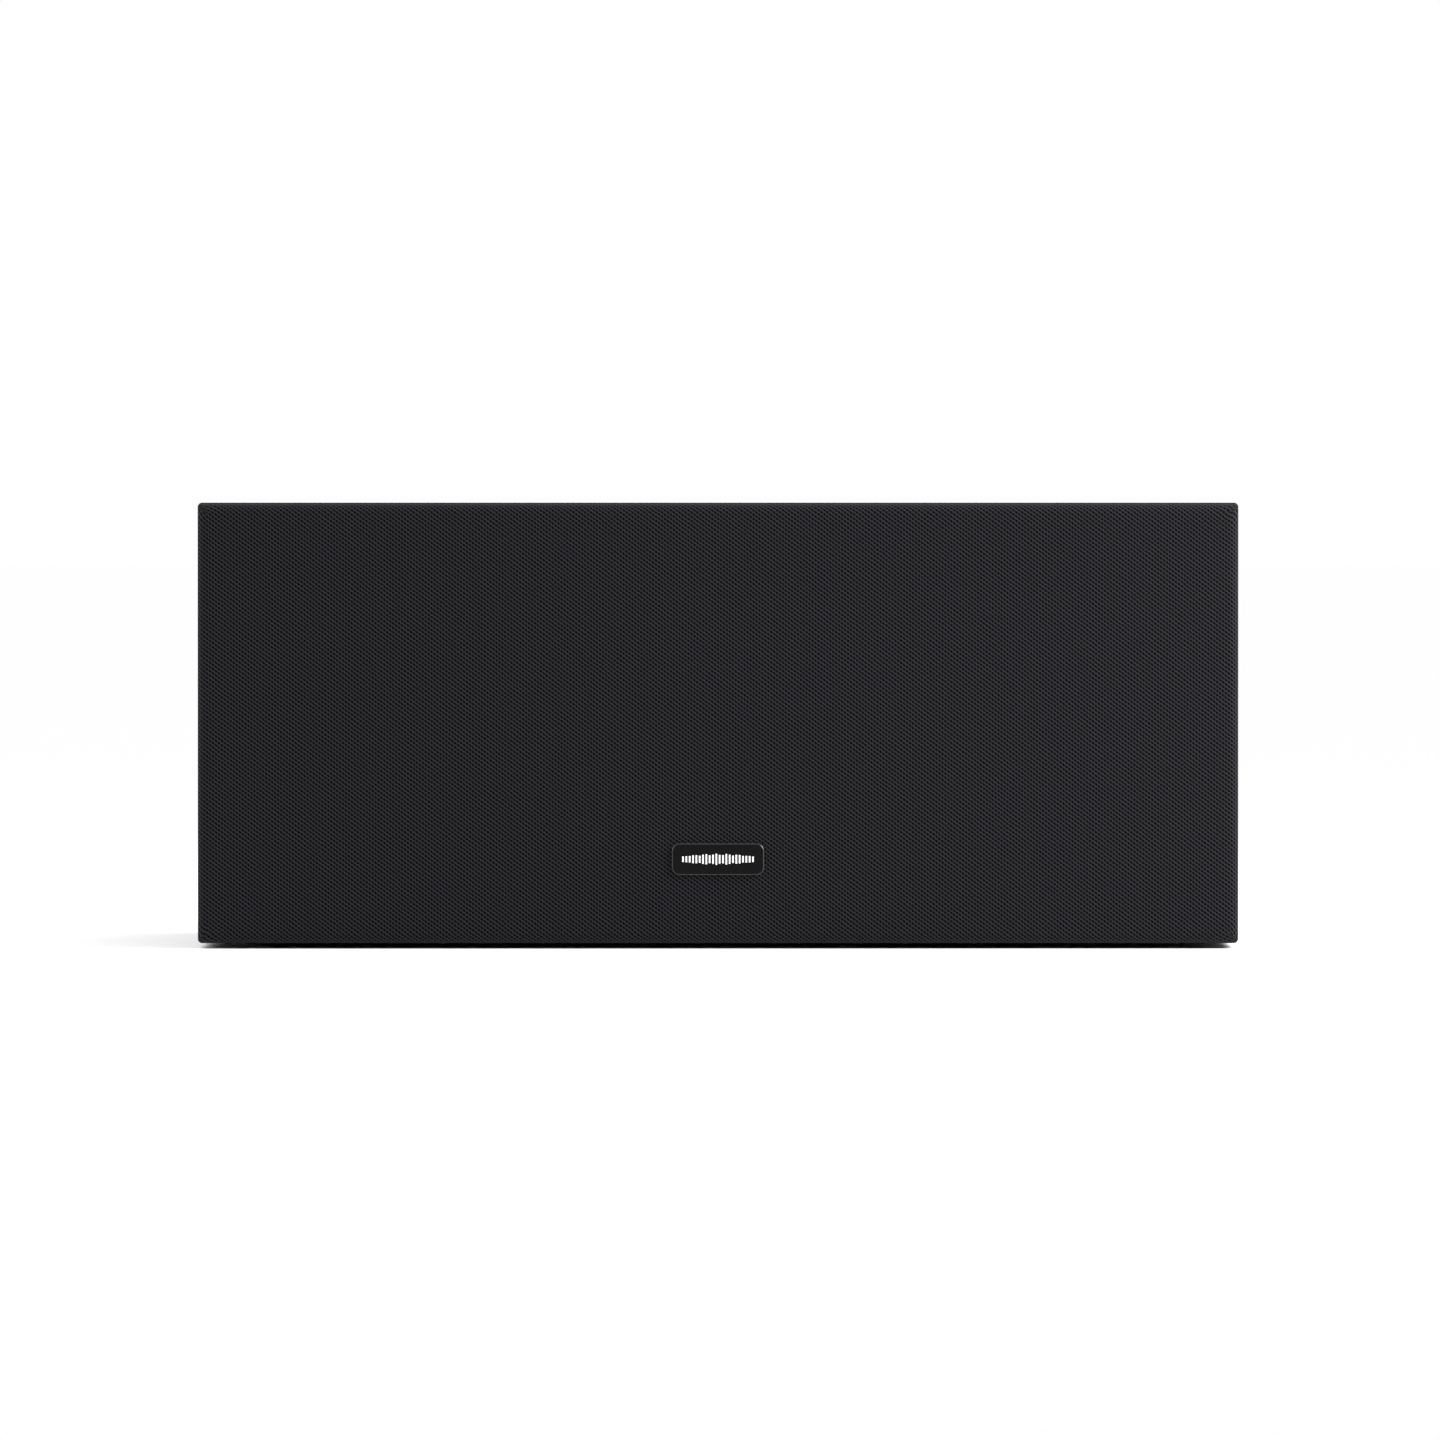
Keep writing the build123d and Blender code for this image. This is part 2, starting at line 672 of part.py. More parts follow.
def tweeter_faceplate():
    """The moulded plate, with a shallow flare and a seat for the diaphragm behind it."""
    seat = -flange_thickness + diaphragm_thickness
    plate = turned((tweeter_throat_radius, seat), (tweeter_seat_radius, seat),
                   (tweeter_seat_radius, -flange_thickness), (tweeter_radius, -flange_thickness),
                   (tweeter_radius, 0), (tweeter_flare_radius, 0),
                   (tweeter_throat_radius, -tweeter_throat_depth))
    hole = disc(tweeter_screw[2] + screw_hole_clearance, -flange_thickness - 1, 1)
    return plate - [p * hole for p in screw_places(tweeter_screw_circle, tweeter_screw_count)]


def tweeter_dome():
    """The treated-fabric dome."""
    sphere_radius = (dome_radius**2 + dome_rise**2) / (2 * dome_rise)
    centre = Pos(0, 0, -flange_thickness + dome_rise - sphere_radius)
    shell = centre * (Sphere(sphere_radius) - Sphere(sphere_radius - diaphragm_thickness))
    return shell & disc(dome_radius + 1, -flange_thickness, dome_rise)


def tweeter_surround():
    """The small roll round the dome and the flap clamped behind the faceplate."""
    half = diaphragm_thickness / 2
    base = -flange_thickness
    middle = dome_radius + dome_roll_radius + half
    roll = Circle(dome_roll_radius + half) - Circle(dome_roll_radius - half)
    roll &= Pos(0, dome_roll_radius) * Rectangle(4 * dome_roll_radius, 2 * dome_roll_radius)
    inner, outer = middle + dome_roll_radius, tweeter_seat_radius - surround_clearance
    flap = Pos((inner + outer) / 2, base + half) * Rectangle(outer - inner, 2 * half)
    return revolve(Plane.XZ * (Pos(middle, base) * roll + flap), Axis.Z)


def tweeter_voice_coil():
    top = -flange_thickness
    rear = top - tweeter_former_length
    return group([ring(tweeter_former_inner, tweeter_former_outer, rear, top),
                  ring(tweeter_former_outer, tweeter_winding_radius,
                       rear + tweeter_winding_inset, top - tweeter_winding_inset)])


def tweeter_top_plate():
    return ring(tweeter_winding_radius + coil_gap, tweeter_plate_radius,
                -tweeter_magnet_depth, -flange_thickness)


def tweeter_magnet():
    return ring(tweeter_magnet_inner, tweeter_magnet_radius,
                -tweeter_yoke_depth, -tweeter_magnet_depth)


def tweeter_yoke():
    plate = disc(tweeter_plate_radius, -tweeter_rear_depth, -tweeter_yoke_depth)
    return plate + disc(tweeter_pole_radius, -tweeter_yoke_depth,
                        -flange_thickness - tweeter_pole_drop)


def tweeter_screws():
    places = screw_places(tweeter_screw_circle, tweeter_screw_count)
    return group(on_baffle(0) * p * cross_head_screw(*tweeter_screw) for p in places)


# --- Terminal cup, posts and crossover ---

def terminal_cup():
    """A moulded tray let into the back, whose floor carries the two posts."""
    flange = rounded_plate(cup_flange_width, cup_flange_height, cup_flange_radius,
                           cup_gasket, cup_face)
    flange = chamfer(flange.edges().group_by(Axis.Z)[-1], cup_edge)
    floor = back_recess - cup_depth
    body = rounded_plate(cup_width + 2 * cup_wall, cup_height + 2 * cup_wall,
                         cup_radius + cup_wall, floor - cup_floor, cup_gasket)
    tray = flange + body - rounded_plate(cup_width, cup_height, cup_radius, floor, back_recess + 1)
    for x in (-post_spacing / 2, post_spacing / 2):
        tray -= Pos(x, 0) * disc(post_shank_radius + post_clearance, floor - cup_floor - 1, floor + 1)
    for x, z in corners_of(cup_screw_x, cup_screw_z):
        tray -= Pos(x, z) * disc(cup_screw[2] + screw_hole_clearance, -1, back_recess)
    return on_back(back_y) * tray


def terminal_screws():
    screw = cross_head_screw(*cup_screw)
    return group(on_back(back_y + cup_face, x, z) * screw for x, z in corners_of(cup_screw_x, cup_screw_z))


def post_stud():
    """A post with a collar, a threaded stem bored for a 4 mm plug, and an inner shank."""
    inner_end = -(cup_floor + 2 * nut_thickness + board_thickness + post_tail)
    stud = disc(post_collar_radius, 0, post_collar) + disc(post_thread_radius, 0, post_length)
    stud += disc(post_shank_radius, inner_end, 0)
    return stud - disc(banana_radius, post_length - banana_depth, post_length + 1)


def post_washer():
    """The loose clamp ring under the knob."""
    return ring(post_thread_radius + post_clearance, post_collar_radius,
                post_collar, post_collar + clamp_washer)


def post_knob():
    """The fluted knob, threaded on the stem, open at its end for a plug."""
    low = post_collar + clamp_washer
    cap = post_length + knob_cap_gap
    high = cap + knob_cap
    knob = disc(knob_radius, low, high)
    knob = chamfer(knob.edges().filter_by(GeomType.CIRCLE), knob_chamfer)
    knob -= disc(post_thread_radius + post_clearance, low - 1, cap)
    knob -= disc(knob_mouth_radius, cap - 1, high + 1)
    groove = disc(knob_flute_radius, low + knob_plain_band, high + 1)
    return knob - [p * groove for p in PolarLocations(knob_radius, knob_flutes)]


def post_nuts():
    """Two hexagon nuts on each shank: one against the cup, one behind the board."""
    corner_radius = nut_across_flats / 2 / sin(pi / 3)
    nut = extrude(RegularPolygon(corner_radius, 6), nut_thickness)
    nut -= disc(post_shank_radius + post_clearance, -1, nut_thickness + 1)
    against_cup = -cup_floor - nut_thickness
    behind_board = against_cup - board_thickness - nut_thickness
    return group(on_back(cup_floor_y, x) * Pos(0, 0, z) * nut
                 for x in (-post_spacing / 2, post_spacing / 2)
                 for z in (against_cup, behind_board))


def on_board(x, rise):
    """From a component's own frame, with +Z away from the board, to the board's front."""
    return Location((x, board_y, middle_z + rise), (90, 0, 0))


def crossover_board():
    board = rounded_plate(board_width, board_height, board_radius, -board_thickness, 0)
    for x in (-post_spacing / 2, post_spacing / 2):
        board -= Pos(x, 0) * disc(post_shank_radius + post_clearance, -board_thickness - 1, 1)
    return on_board(0, 0) * board


def crossover_inductors():
    """Two air-cored coils that lie flat on the board."""
    return group(on_board(x, z) * ring(inner, outer, 0, height)
                 for x, z, inner, outer, height in inductors)


def crossover_capacitors():
    """Film capacitors that lie along the board."""
    return group(on_board(x, z) * Pos(0, 0, radius) * Rot(0, 90, 0) * Cylinder(radius, length)
                 for x, z, radius, length in capacitors)


def crossover_resistors():
    """Two cement resistors that lie across the board."""
    return group(on_board(x, z) * Box(resistor_side, resistor_length, resistor_side, align=UP)
                 for x, z in resistors)


def woofer_wires():
    """A two-core cable from each side of the board, through a brace, to its woofer."""
    x = woofer_x - basket_rear_radius - tab_board_thickness / 2
    y = baffle_y + top_plate_depth
    left = [(-x, y, middle_z), (-x, y + 34, middle_z), (-x + 16.5, y + 66, middle_z - 9),
            (-50, board_y - 48, middle_z - 16), (-41.5, board_y - 24, middle_z - 13),
            (-41.5, board_y, middle_z - 13)]
    right = [(x, y, middle_z), (x, y + 33, middle_z), (x - 15, y + 66, middle_z - 4),
             (51, board_y - 47, middle_z - 7), (41.5, board_y - 23.5, middle_z + 1),
             (41.5, board_y, middle_z + 1)]
    return group([cable(left, cable_diameter), cable(right, cable_diameter)])


def tweeter_wires():
    """A two-core cable from the board, sagging a little, to the tweeter."""
    y = baffle_y + tweeter_rear_depth + tweeter_board_depth
    z = middle_z - tweeter_tab_drop
    return cable([(0, y, z), (0, y + 30, z), (3, y + 70, z - 10), (4, board_y - 59, z - 14),
                  (-5, board_y - 24.5, z + 8), (-5, board_y, z + 8)], cable_diameter)


# --- Grille ---

def frame_outline(grow):
    """The grille frame's envelope, grown on every side but its rear."""
    width = cabinet_width - 2 * (grille_margin + cloth_thickness) + 2 * grow
    height = cabinet_height - 2 * (grille_margin + cloth_thickness) + 2 * grow
    plate = rounded_plate(width, height, cabinet_corner_radius + grow,
                          grille_gap + cloth_thickness,
                          grille_gap + cloth_thickness + frame_depth + grow)
    return fillet(plate.edges().group_by(Axis.Z)[-1], frame_edge_radius + grow)


def grille_frame():
    """A moulded frame with a window before each driver and a tab behind the badge."""
    low = grille_gap + cloth_thickness
    high = low + frame_depth
    half_width = cabinet_width / 2 - grille_margin - cloth_thickness
    half_height = cabinet_height / 2 - grille_margin - cloth_thickness
    tall = 2 * (half_height - frame_long_bar)
    inner = woofer_x - woofer_radius - window_margin
    outer = half_width - frame_side_bar
    frame = frame_outline(0)
    window = rounded_plate(outer - inner, tall, window_radius, low - 1, high + 1)
    for side in (-1, 1):
        frame -= Pos(side * (inner + outer) / 2, 0) * window
    frame -= rounded_plate(2 * (inner - frame_mullion), tall, window_radius / 2, low - 1, high + 1)
    tab_half = badge_width / 2 + badge_tab_border
    tab_top = badge_rise + badge_height / 2 + badge_tab_border - cabinet_height / 2
    frame += block((-tab_half, -half_height + frame_long_bar / 2, high - badge_tab_thickness),
                   (tab_half, tab_top, high))
    for x, z in peg_places():
        frame -= Pos(x, z) * disc(peg_radius, low - 1, low + peg_root)
    return on_baffle(0) * frame


def grille_pegs():
    """Round-ended pegs pressed into the back of the frame."""
    low = grille_gap + cloth_thickness
    straight = peg_length - peg_radius
    peg = disc(peg_radius, low - straight, low + peg_root)
    peg += Pos(0, 0, low - straight) * Sphere(peg_radius)
    return group(on_baffle(x, z) * peg for x, z in peg_places())


def grille_cloth():
    """One sheet over the frame's front and sides, folded in behind its edge."""
    skin = frame_outline(cloth_thickness)
    width = cabinet_width - 2 * grille_margin
    height = cabinet_height - 2 * grille_margin
    skin += rounded_plate(width, height, cabinet_corner_radius + cloth_thickness,
                          grille_gap, grille_gap + cloth_thickness)
    skin -= frame_outline(0)
    skin -= rounded_plate(width - 2 * cloth_fold, height - 2 * cloth_fold, fold_corner_radius,
                          grille_gap - 1, grille_gap + cloth_thickness + 1)
    return on_baffle(0) * skin


def badge_plate():
    """A small gloss plate with a bevelled edge, in the middle below the tweeter."""
    front = grille_depth
    plate = rounded_plate(badge_width, badge_height, badge_radius, front, front + badge_thickness)
    plate = chamfer(plate.edges().group_by(Axis.Z)[-1], badge_edge)
    return on_baffle(0, badge_rise - cabinet_height / 2) * plate


def build():
    """Every node by name."""
    nodes = dict(sleeve_panels())
    nodes["front_baffle"] = front_baffle()
    nodes["back_panel"] = back_panel()
    nodes["cabinet_braces"] = cabinet_braces()
    nodes["acoustic_wadding"] = acoustic_wadding()
    nodes["rubber_feet"] = rubber_feet()
    nodes["grille_sockets"] = grille_sockets()
    nodes["driver_gaskets"] = driver_gaskets()
    nodes["driver_terminals"] = driver_terminals()
    nodes["woofer_screws"] = woofer_screws()
    nodes["woofer_top_plates"] = group(on_baffle(x) * woofer_top_plate()
                                       for x in (-woofer_x, woofer_x))
    pieces = {"basket": basket(), "cone": cone(), "dust_cap": dust_cap(),
              "voice_coil": voice_coil(), "surround": surround(), "spider": spider(),
              "magnet": woofer_magnet(), "yoke": woofer_yoke()}
    for side, x in (("left", -woofer_x), ("right", woofer_x)):
        for name, piece in pieces.items():
            nodes[f"woofer_{side}_{name}"] = on_baffle(x) * piece
        nodes[f"port_tube_{side}"] = on_back(back_y, -port_from_centre if side == "left"
                                             else port_from_centre) * port_tube()
    for name, piece in (("faceplate", tweeter_faceplate()), ("dome", tweeter_dome()),
                        ("surround", tweeter_surround()), ("voice_coil", tweeter_voice_coil()),
                        ("top_plate", tweeter_top_plate()), ("magnet", tweeter_magnet()),
                        ("yoke", tweeter_yoke())):
        nodes[f"tweeter_{name}"] = on_baffle(0) * piece
    nodes["tweeter_screws"] = tweeter_screws()
    nodes["terminal_cup"] = terminal_cup()
    nodes["terminal_screws"] = terminal_screws()
    for colour, x in (("black", post_spacing / 2), ("red", -post_spacing / 2)):
        place = on_back(cup_floor_y, x)
        nodes[f"{colour}_post_stud"] = place * post_stud()
        nodes[f"{colour}_post_washer"] = place * post_washer()
        nodes[f"{colour}_post_knob"] = place * post_knob()
    nodes["post_nuts"] = post_nuts()
    nodes["crossover_board"] = crossover_board()
    nodes["crossover_inductors"] = crossover_inductors()
    nodes["crossover_capacitors"] = crossover_capacitors()
    nodes["crossover_resistors"] = crossover_resistors()
    nodes["woofer_wires"] = woofer_wires()
    nodes["tweeter_wires"] = tweeter_wires()
    nodes["grille_frame"] = grille_frame()
    nodes["grille_pegs"] = grille_pegs()
    nodes["grille_cloth"] = grille_cloth()
    nodes["badge_plate"] = badge_plate()
    return nodes


os.makedirs("parts", exist_ok=True)
for node_name, shape in build().items():
    export_step(shape, f"parts/{node_name}.step")
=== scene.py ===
from math import asin, cos, hypot, pi, radians, sin

import bmesh
import bpy
from mathutils import Matrix, Vector, noise
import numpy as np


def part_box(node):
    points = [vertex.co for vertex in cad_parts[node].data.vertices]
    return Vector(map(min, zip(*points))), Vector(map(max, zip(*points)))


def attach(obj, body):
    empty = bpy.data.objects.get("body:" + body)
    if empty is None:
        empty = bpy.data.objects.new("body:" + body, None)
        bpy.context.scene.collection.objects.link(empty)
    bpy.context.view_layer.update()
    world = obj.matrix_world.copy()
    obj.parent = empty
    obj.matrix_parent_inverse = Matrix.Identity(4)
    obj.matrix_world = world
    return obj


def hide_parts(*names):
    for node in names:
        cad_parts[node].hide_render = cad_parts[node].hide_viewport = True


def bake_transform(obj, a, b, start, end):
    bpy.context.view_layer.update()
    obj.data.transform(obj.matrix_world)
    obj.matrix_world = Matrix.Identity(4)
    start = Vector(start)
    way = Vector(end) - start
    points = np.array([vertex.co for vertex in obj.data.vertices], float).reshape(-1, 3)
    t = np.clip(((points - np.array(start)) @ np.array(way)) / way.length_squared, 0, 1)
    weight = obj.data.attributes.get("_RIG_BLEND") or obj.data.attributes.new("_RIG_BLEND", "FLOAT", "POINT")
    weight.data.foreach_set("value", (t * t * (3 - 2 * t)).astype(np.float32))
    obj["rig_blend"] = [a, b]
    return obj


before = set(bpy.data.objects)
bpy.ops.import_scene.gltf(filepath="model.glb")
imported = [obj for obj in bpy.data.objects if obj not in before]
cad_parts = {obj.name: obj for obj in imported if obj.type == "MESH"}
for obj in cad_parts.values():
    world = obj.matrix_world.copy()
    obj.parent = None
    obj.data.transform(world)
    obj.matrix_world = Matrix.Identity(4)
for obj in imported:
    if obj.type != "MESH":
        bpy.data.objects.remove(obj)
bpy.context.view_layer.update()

MM = 0.001


# --- Cabinet sleeve and back panel ---
# Fibreboard panels wrapped in one sheet of black ash foil, folded round the mitres and glued.
# The foil is embossed vinyl: matt black, with straight pores a few tenths of a millimetre
# wide that run round the sleeve. Its colour is lighter between them and darker in them, which
# is partly the pores' own tone and partly painted highlight and painted shade.

def linear(colour):
    """An sRGB hex colour as linear red, green, blue and alpha."""
    parts = [int(colour[i:i + 2], 16) / 255 for i in (1, 3, 5)]
    return (*[p / 12.92 if p <= 0.04045 else ((p + 0.055) / 1.055) ** 2.4 for p in parts], 1.0)


def add(tree, kind, inputs=None, **settings):
    """Adds a node, sets its properties and fills its inputs with values or links."""
    node = tree.nodes.new(kind)
    for name, value in settings.items():
        setattr(node, name, value)
    for name, value in (inputs or {}).items():
        if isinstance(value, bpy.types.NodeSocket):
            tree.links.new(value, node.inputs[name])
        else:
            node.inputs[name].default_value = value
    return node


def grained(name, dark, light, roughness, grain, relief, run=(1, 1, 1), detail=4.0, **sockets):
    """A finish whose colour, gloss and height follow one grain of a size in millimetres.

    Run stretches the grain along an axis, and relief is its height in millimetres. The higher
    the grain, the glossier it is. Its colour swings with the grain: partly the grain's own tone,
    and partly painted highlight where the grain stands higher and painted shade in its hollows.
    """
    fineness, darkest, lightest, gloss_swing = 0.6, 0.3, 0.7, 0.08
    material = bpy.data.materials.new(name)
    material.use_nodes = True
    tree = material.node_tree
    shader = tree.nodes["Principled BSDF"]
    for socket, value in sockets.items():
        shader.inputs[socket.replace("_", " ")].default_value = value
    place = add(tree, "ShaderNodeTexCoord").outputs["Object"]
    scale = [1 / (grain * MM * stretch) for stretch in run]
    place = add(tree, "ShaderNodeMapping", {"Vector": place, "Scale": scale}).outputs["Vector"]
    height = add(tree, "ShaderNodeTexNoise", {"Vector": place, "Scale": 1.0, "Detail": detail,
                                              "Roughness": fineness}).outputs["Fac"]
    # Painted highlight and shade: the colour follows the grain's height, lighter where it stands higher and
    # darker in its hollows, on top of the grain's own tone.
    spread = add(tree, "ShaderNodeMapRange", {"Value": height, "From Min": darkest,
                                              "From Max": lightest}).outputs["Result"]
    colour = add(tree, "ShaderNodeMixRGB", {"Fac": spread, "Color1": linear(dark),
                                            "Color2": linear(light)}).outputs["Color"]
    gloss = add(tree, "ShaderNodeMapRange", {"Value": height, "To Min": roughness + gloss_swing,
                                             "To Max": roughness - gloss_swing}).outputs["Result"]
    bump = add(tree, "ShaderNodeBump", {"Height": height, "Distance": relief * MM}).outputs["Normal"]
    tree.links.new(colour, shader.inputs["Base Color"])
    tree.links.new(gloss, shader.inputs["Roughness"])
    tree.links.new(bump, shader.inputs["Normal"])
    return material


def dress(material, *nodes):
    """Gives CAD nodes their finish."""
    for name in nodes:
        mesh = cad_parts[name].data
        mesh.materials.clear()
        mesh.materials.append(material)


def bare_inside(material, low, high, foil, chip=0.8 * MM):
    """Leaves sawn board wherever a surface is deeper than the foil inside these limits."""
    tree = material.node_tree
    shader = tree.nodes["Principled BSDF"]
    place = add(tree, "ShaderNodeTexCoord").outputs["Object"]
    away = add(tree, "ShaderNodeVectorMath", {0: place, 1: (low + high) / 2},
               operation="SUBTRACT").outputs[0]
    away = add(tree, "ShaderNodeVectorMath", {0: away}, operation="ABSOLUTE").outputs[0]
    limit = (high - low) / 2 - foil
    away = add(tree, "ShaderNodeVectorMath", {0: away, 1: limit}, operation="SUBTRACT").outputs[0]
    axes = add(tree, "ShaderNodeSeparateXYZ", {"Vector": away}).outputs
    most = add(tree, "ShaderNodeMath", {0: axes["X"], 1: axes["Y"]}, operation="MAXIMUM").outputs[0]
    most = add(tree, "ShaderNodeMath", {0: most, 1: axes["Z"]}, operation="MAXIMUM").outputs[0]
    wrapped = add(tree, "ShaderNodeMath", {0: most, 1: 0.0}, operation="GREATER_THAN").outputs[0]
    chips = add(tree, "ShaderNodeTexNoise", {"Vector": place, "Scale": 1 / chip,
                                             "Detail": 4.0}).outputs["Fac"]
    board = add(tree, "ShaderNodeMixRGB", {"Fac": chips, "Color1": linear("#6f573b"),
                                           "Color2": linear("#a3875f")}).outputs["Color"]
    covered = shader.inputs["Base Color"].links[0].from_socket
    colour = add(tree, "ShaderNodeMixRGB", {"Fac": wrapped, "Color1": board, "Color2": covered})
    tree.links.new(colour.outputs["Color"], shader.inputs["Base Color"])
    # Bare board has no gloss.
    covered = shader.inputs["Roughness"].links[0].from_socket
    gloss = add(tree, "ShaderNodeMapRange", {"Value": wrapped, "To Min": 1.0, "To Max": covered})
    tree.links.new(gloss.outputs["Result"], shader.inputs["Roughness"])


# Pores 0.35 mm wide and about 20 mm long, which is coarse for a foil, so that they show.
foil_finish = {"dark": "#0a0a0b", "light": "#1e1e21", "roughness": 0.55, "grain": 0.35,
               "relief": 0.12, "detail": 6.0, "Specular_IOR_Level": 0.25}
pore_stretch = 60
ash_along = grained("black ash vinyl, grain along", run=(pore_stretch, 1, 1), **foil_finish)
ash_upright = grained("black ash vinyl, grain upright", run=(1, 1, pore_stretch), **foil_finish)
ash_back = grained("black ash vinyl, back", run=(pore_stretch, 1, 1), **foil_finish)
sleeve_low, sleeve_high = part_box("top_panel")
sleeve_low.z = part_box("bottom_panel")[0].z
# The foil is turned in by 6 mm at the sleeve's ends, which is past the back panel's recess,
# and its limit of 1 mm at the sides is past the rounding of the mitred edges.
foil, turned_in = 1.0 * MM, 6.0 * MM
bare_inside(ash_along, sleeve_low, sleeve_high, Vector((foil, turned_in, foil)))
bare_inside(ash_upright, sleeve_low, sleeve_high, Vector((foil, turned_in, foil)))
# The back panel is faced on its outer side only, so its limits run on past the cabinet.
back_low, back_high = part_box("back_panel")
back_low.y = sleeve_low.y - (sleeve_high.y - sleeve_low.y)
bare_inside(ash_back, back_low, back_high, Vector((foil, foil, foil)))
dress(ash_along, "top_panel", "bottom_panel")
dress(ash_upright, "left_panel", "right_panel")
dress(ash_back, "back_panel")


# --- Front baffle and braces ---
# The baffle is fibreboard sprayed with a black structure lacquer, a fine dull orange peel that
# hides the grille's rub marks. The braces inside are the same board, left pale brown as sawn.

structure_lacquer = grained("black structure lacquer", "#0d0d0e", "#18181a", 0.52, 0.7, 0.1,
                            Specular_IOR_Level=0.3)
sawn_board = grained("sawn fibreboard", "#7d6446", "#a58a67", 0.9, 0.8, 0.15, run=(1, 3, 1))
dress(structure_lacquer, "front_baffle")
dress(sawn_board, "cabinet_braces")


# --- Rubber feet, peg sockets and gaskets ---
# Feet are die-cut discs of dull black rubber with a glue film. The sockets are moulded in the
# same rubber and pushed into the baffle. The gaskets are cut from pitted closed-cell foam.

foot_rubber = grained("moulded black rubber", "#0e0e0e", "#171717", 0.78, 0.5, 0.03)
cell_foam = grained("closed-cell gasket foam", "#131314", "#232325", 0.92, 0.4, 0.12)
dress(foot_rubber, "rubber_feet", "grille_sockets")
dress(cell_foam, "driver_gaskets")


# --- Ports and terminal cup ---
# Both are injection moulded in black ABS from spark-eroded tools, which leaves a fine matt
# grain. A raised plus and minus beside the posts tell the two leads apart.

black_abs = grained("spark-textured black ABS", "#0d0d0e", "#161617", 0.5, 0.3, 0.03)
dress(black_abs, "port_tube_left", "port_tube_right", "terminal_cup")


def piece(name, mesh, material, body=None, nodes=()):
    """Puts a finished mesh in the scene with its finish, on its body, in place of CAD nodes."""
    made = bpy.data.objects.new(name, mesh)
    bpy.context.scene.collection.objects.link(made)
    if material:
        mesh.materials.append(material)
    if body:
        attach(made, body)
    if nodes:
        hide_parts(*nodes)
    return made or made


def finished(built, name):
    """The mesh of a built shape, with its faces turned outwards."""
    bmesh.ops.recalc_face_normals(built, faces=built.faces)
    mesh = bpy.data.meshes.new(name)
    built.to_mesh(mesh)
    built.free()
    return mesh


def relief(outlines, height, place):
    """Flat marks from outlines in millimetres, raised to a height, as one closed mesh."""
    built = bmesh.new()
    for corners in outlines:
        lower = [built.verts.new((x, y, 0)) for x, y in corners]
        upper = [built.verts.new((x, y, height)) for x, y in corners]
        built.faces.new(lower)
        built.faces.new(upper)
        for i in range(len(lower)):
            after = (i + 1) % len(lower)
            built.faces.new((lower[i], lower[after], upper[after], upper[i]))
    mesh = finished(built, "relief")
    mesh.transform(place @ Matrix.Scale(MM, 4))
    return mesh


# Each post has its mark above it, with arms 3 mm long and a stroke of 0.8 mm to each side. The
# marks stand 0.3 mm out of the cup's face and are pad printed in dull white.
stud_low, stud_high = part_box("red_post_stud")
post_x = -(stud_low.x + stud_high.x) / 2
middle_z = (stud_low.z + stud_high.z) / 2
cup_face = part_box("terminal_cup")[1].y
cup_outwards = Matrix.Rotation(radians(-90), 4, "X")
mark_rise, mark_height = 33.0, 0.3
arm, stroke = 3.0, 0.8
plus = [(stroke, stroke), (arm, stroke), (arm, -stroke), (stroke, -stroke), (stroke, -arm),
        (-stroke, -arm), (-stroke, -stroke), (-arm, -stroke), (-arm, stroke), (-stroke, stroke),
        (-stroke, arm), (stroke, arm)]
minus = [(arm, stroke), (arm, -stroke), (-arm, -stroke), (-arm, stroke)]
pad_ink = grained("pad-printed white ink", "#c9c9c9", "#dddddd", 0.5, 0.4, 0.01)
mark_place = Matrix.Translation((0, cup_face, middle_z)) @ cup_outwards
post_marks = [[(x - post_x / MM, y - mark_rise) for x, y in plus],
              [(x + post_x / MM, y - mark_rise) for x, y in minus]]
piece("polarity_marks", relief(post_marks, mark_height, mark_place), pad_ink,
      "cabinet")


# --- Screws and nuts ---
# Cross-recess wood screws in case-hardened steel, blackened and oiled to a dark sheen. The
# posts' nuts and the magnets' plates are zinc plated, which is pale grey and fairly bright.

black_steel = grained("black oxide steel", "#19191b", "#2c2c30", 0.4, 0.25, 0.01, Metallic=0.9)
zinc_plate = grained("bright zinc plate", "#a3a196", "#c0beb6", 0.34, 1.2, 0.01, Metallic=1.0)
dress(black_steel, "woofer_screws", "tweeter_screws", "terminal_screws")
dress(zinc_plate, "post_nuts", "woofer_top_plates", "woofer_left_yoke", "woofer_right_yoke",
      "tweeter_top_plate", "tweeter_yoke")


# --- Binding posts ---
# Turned brass, gold plated to a warm soft shine: a collar, a stem with a 1 mm thread that is
# bored for a 4 mm plug, and a plain shank for the nuts. The thread is real geometry.

def lathe(profile, steps, place, pitch=1.0, weld=1e-5, crease=38):
    """Turns a profile of (radius, height, thread depth) in millimetres into a closed solid.

    The thread is a V groove. An open profile starts and ends on the axis.
    """
    built = bmesh.new()
    rows = []
    for point in profile:
        radius, height = point[:2]
        depth = point[2] if len(point) > 2 else 0.0
        row = []
        for i in range(steps):
            turn = i / steps
            groove = 1 - abs(2 * ((height / pitch - turn) % 1.0) - 1)
            reach = radius - depth * groove
            row.append(built.verts.new((reach * cos(2 * pi * turn), reach * sin(2 * pi * turn),
                                        height)))
        rows.append(row)
    if profile[0][0] > 0:
        rows.append(rows[0])
    for upper, lower in zip(rows, rows[1:]):
        for i in range(steps):
            built.faces.new((upper[i], lower[i], lower[(i + 1) % steps], upper[(i + 1) % steps]))
    bmesh.ops.remove_doubles(built, verts=built.verts, dist=weld)
    mesh = finished(built, "turned")
    mesh.transform(place @ Matrix.Scale(MM, 4))
    mesh.shade_smooth()
    mesh.set_sharp_from_angle(angle=radians(crease))
    return mesh


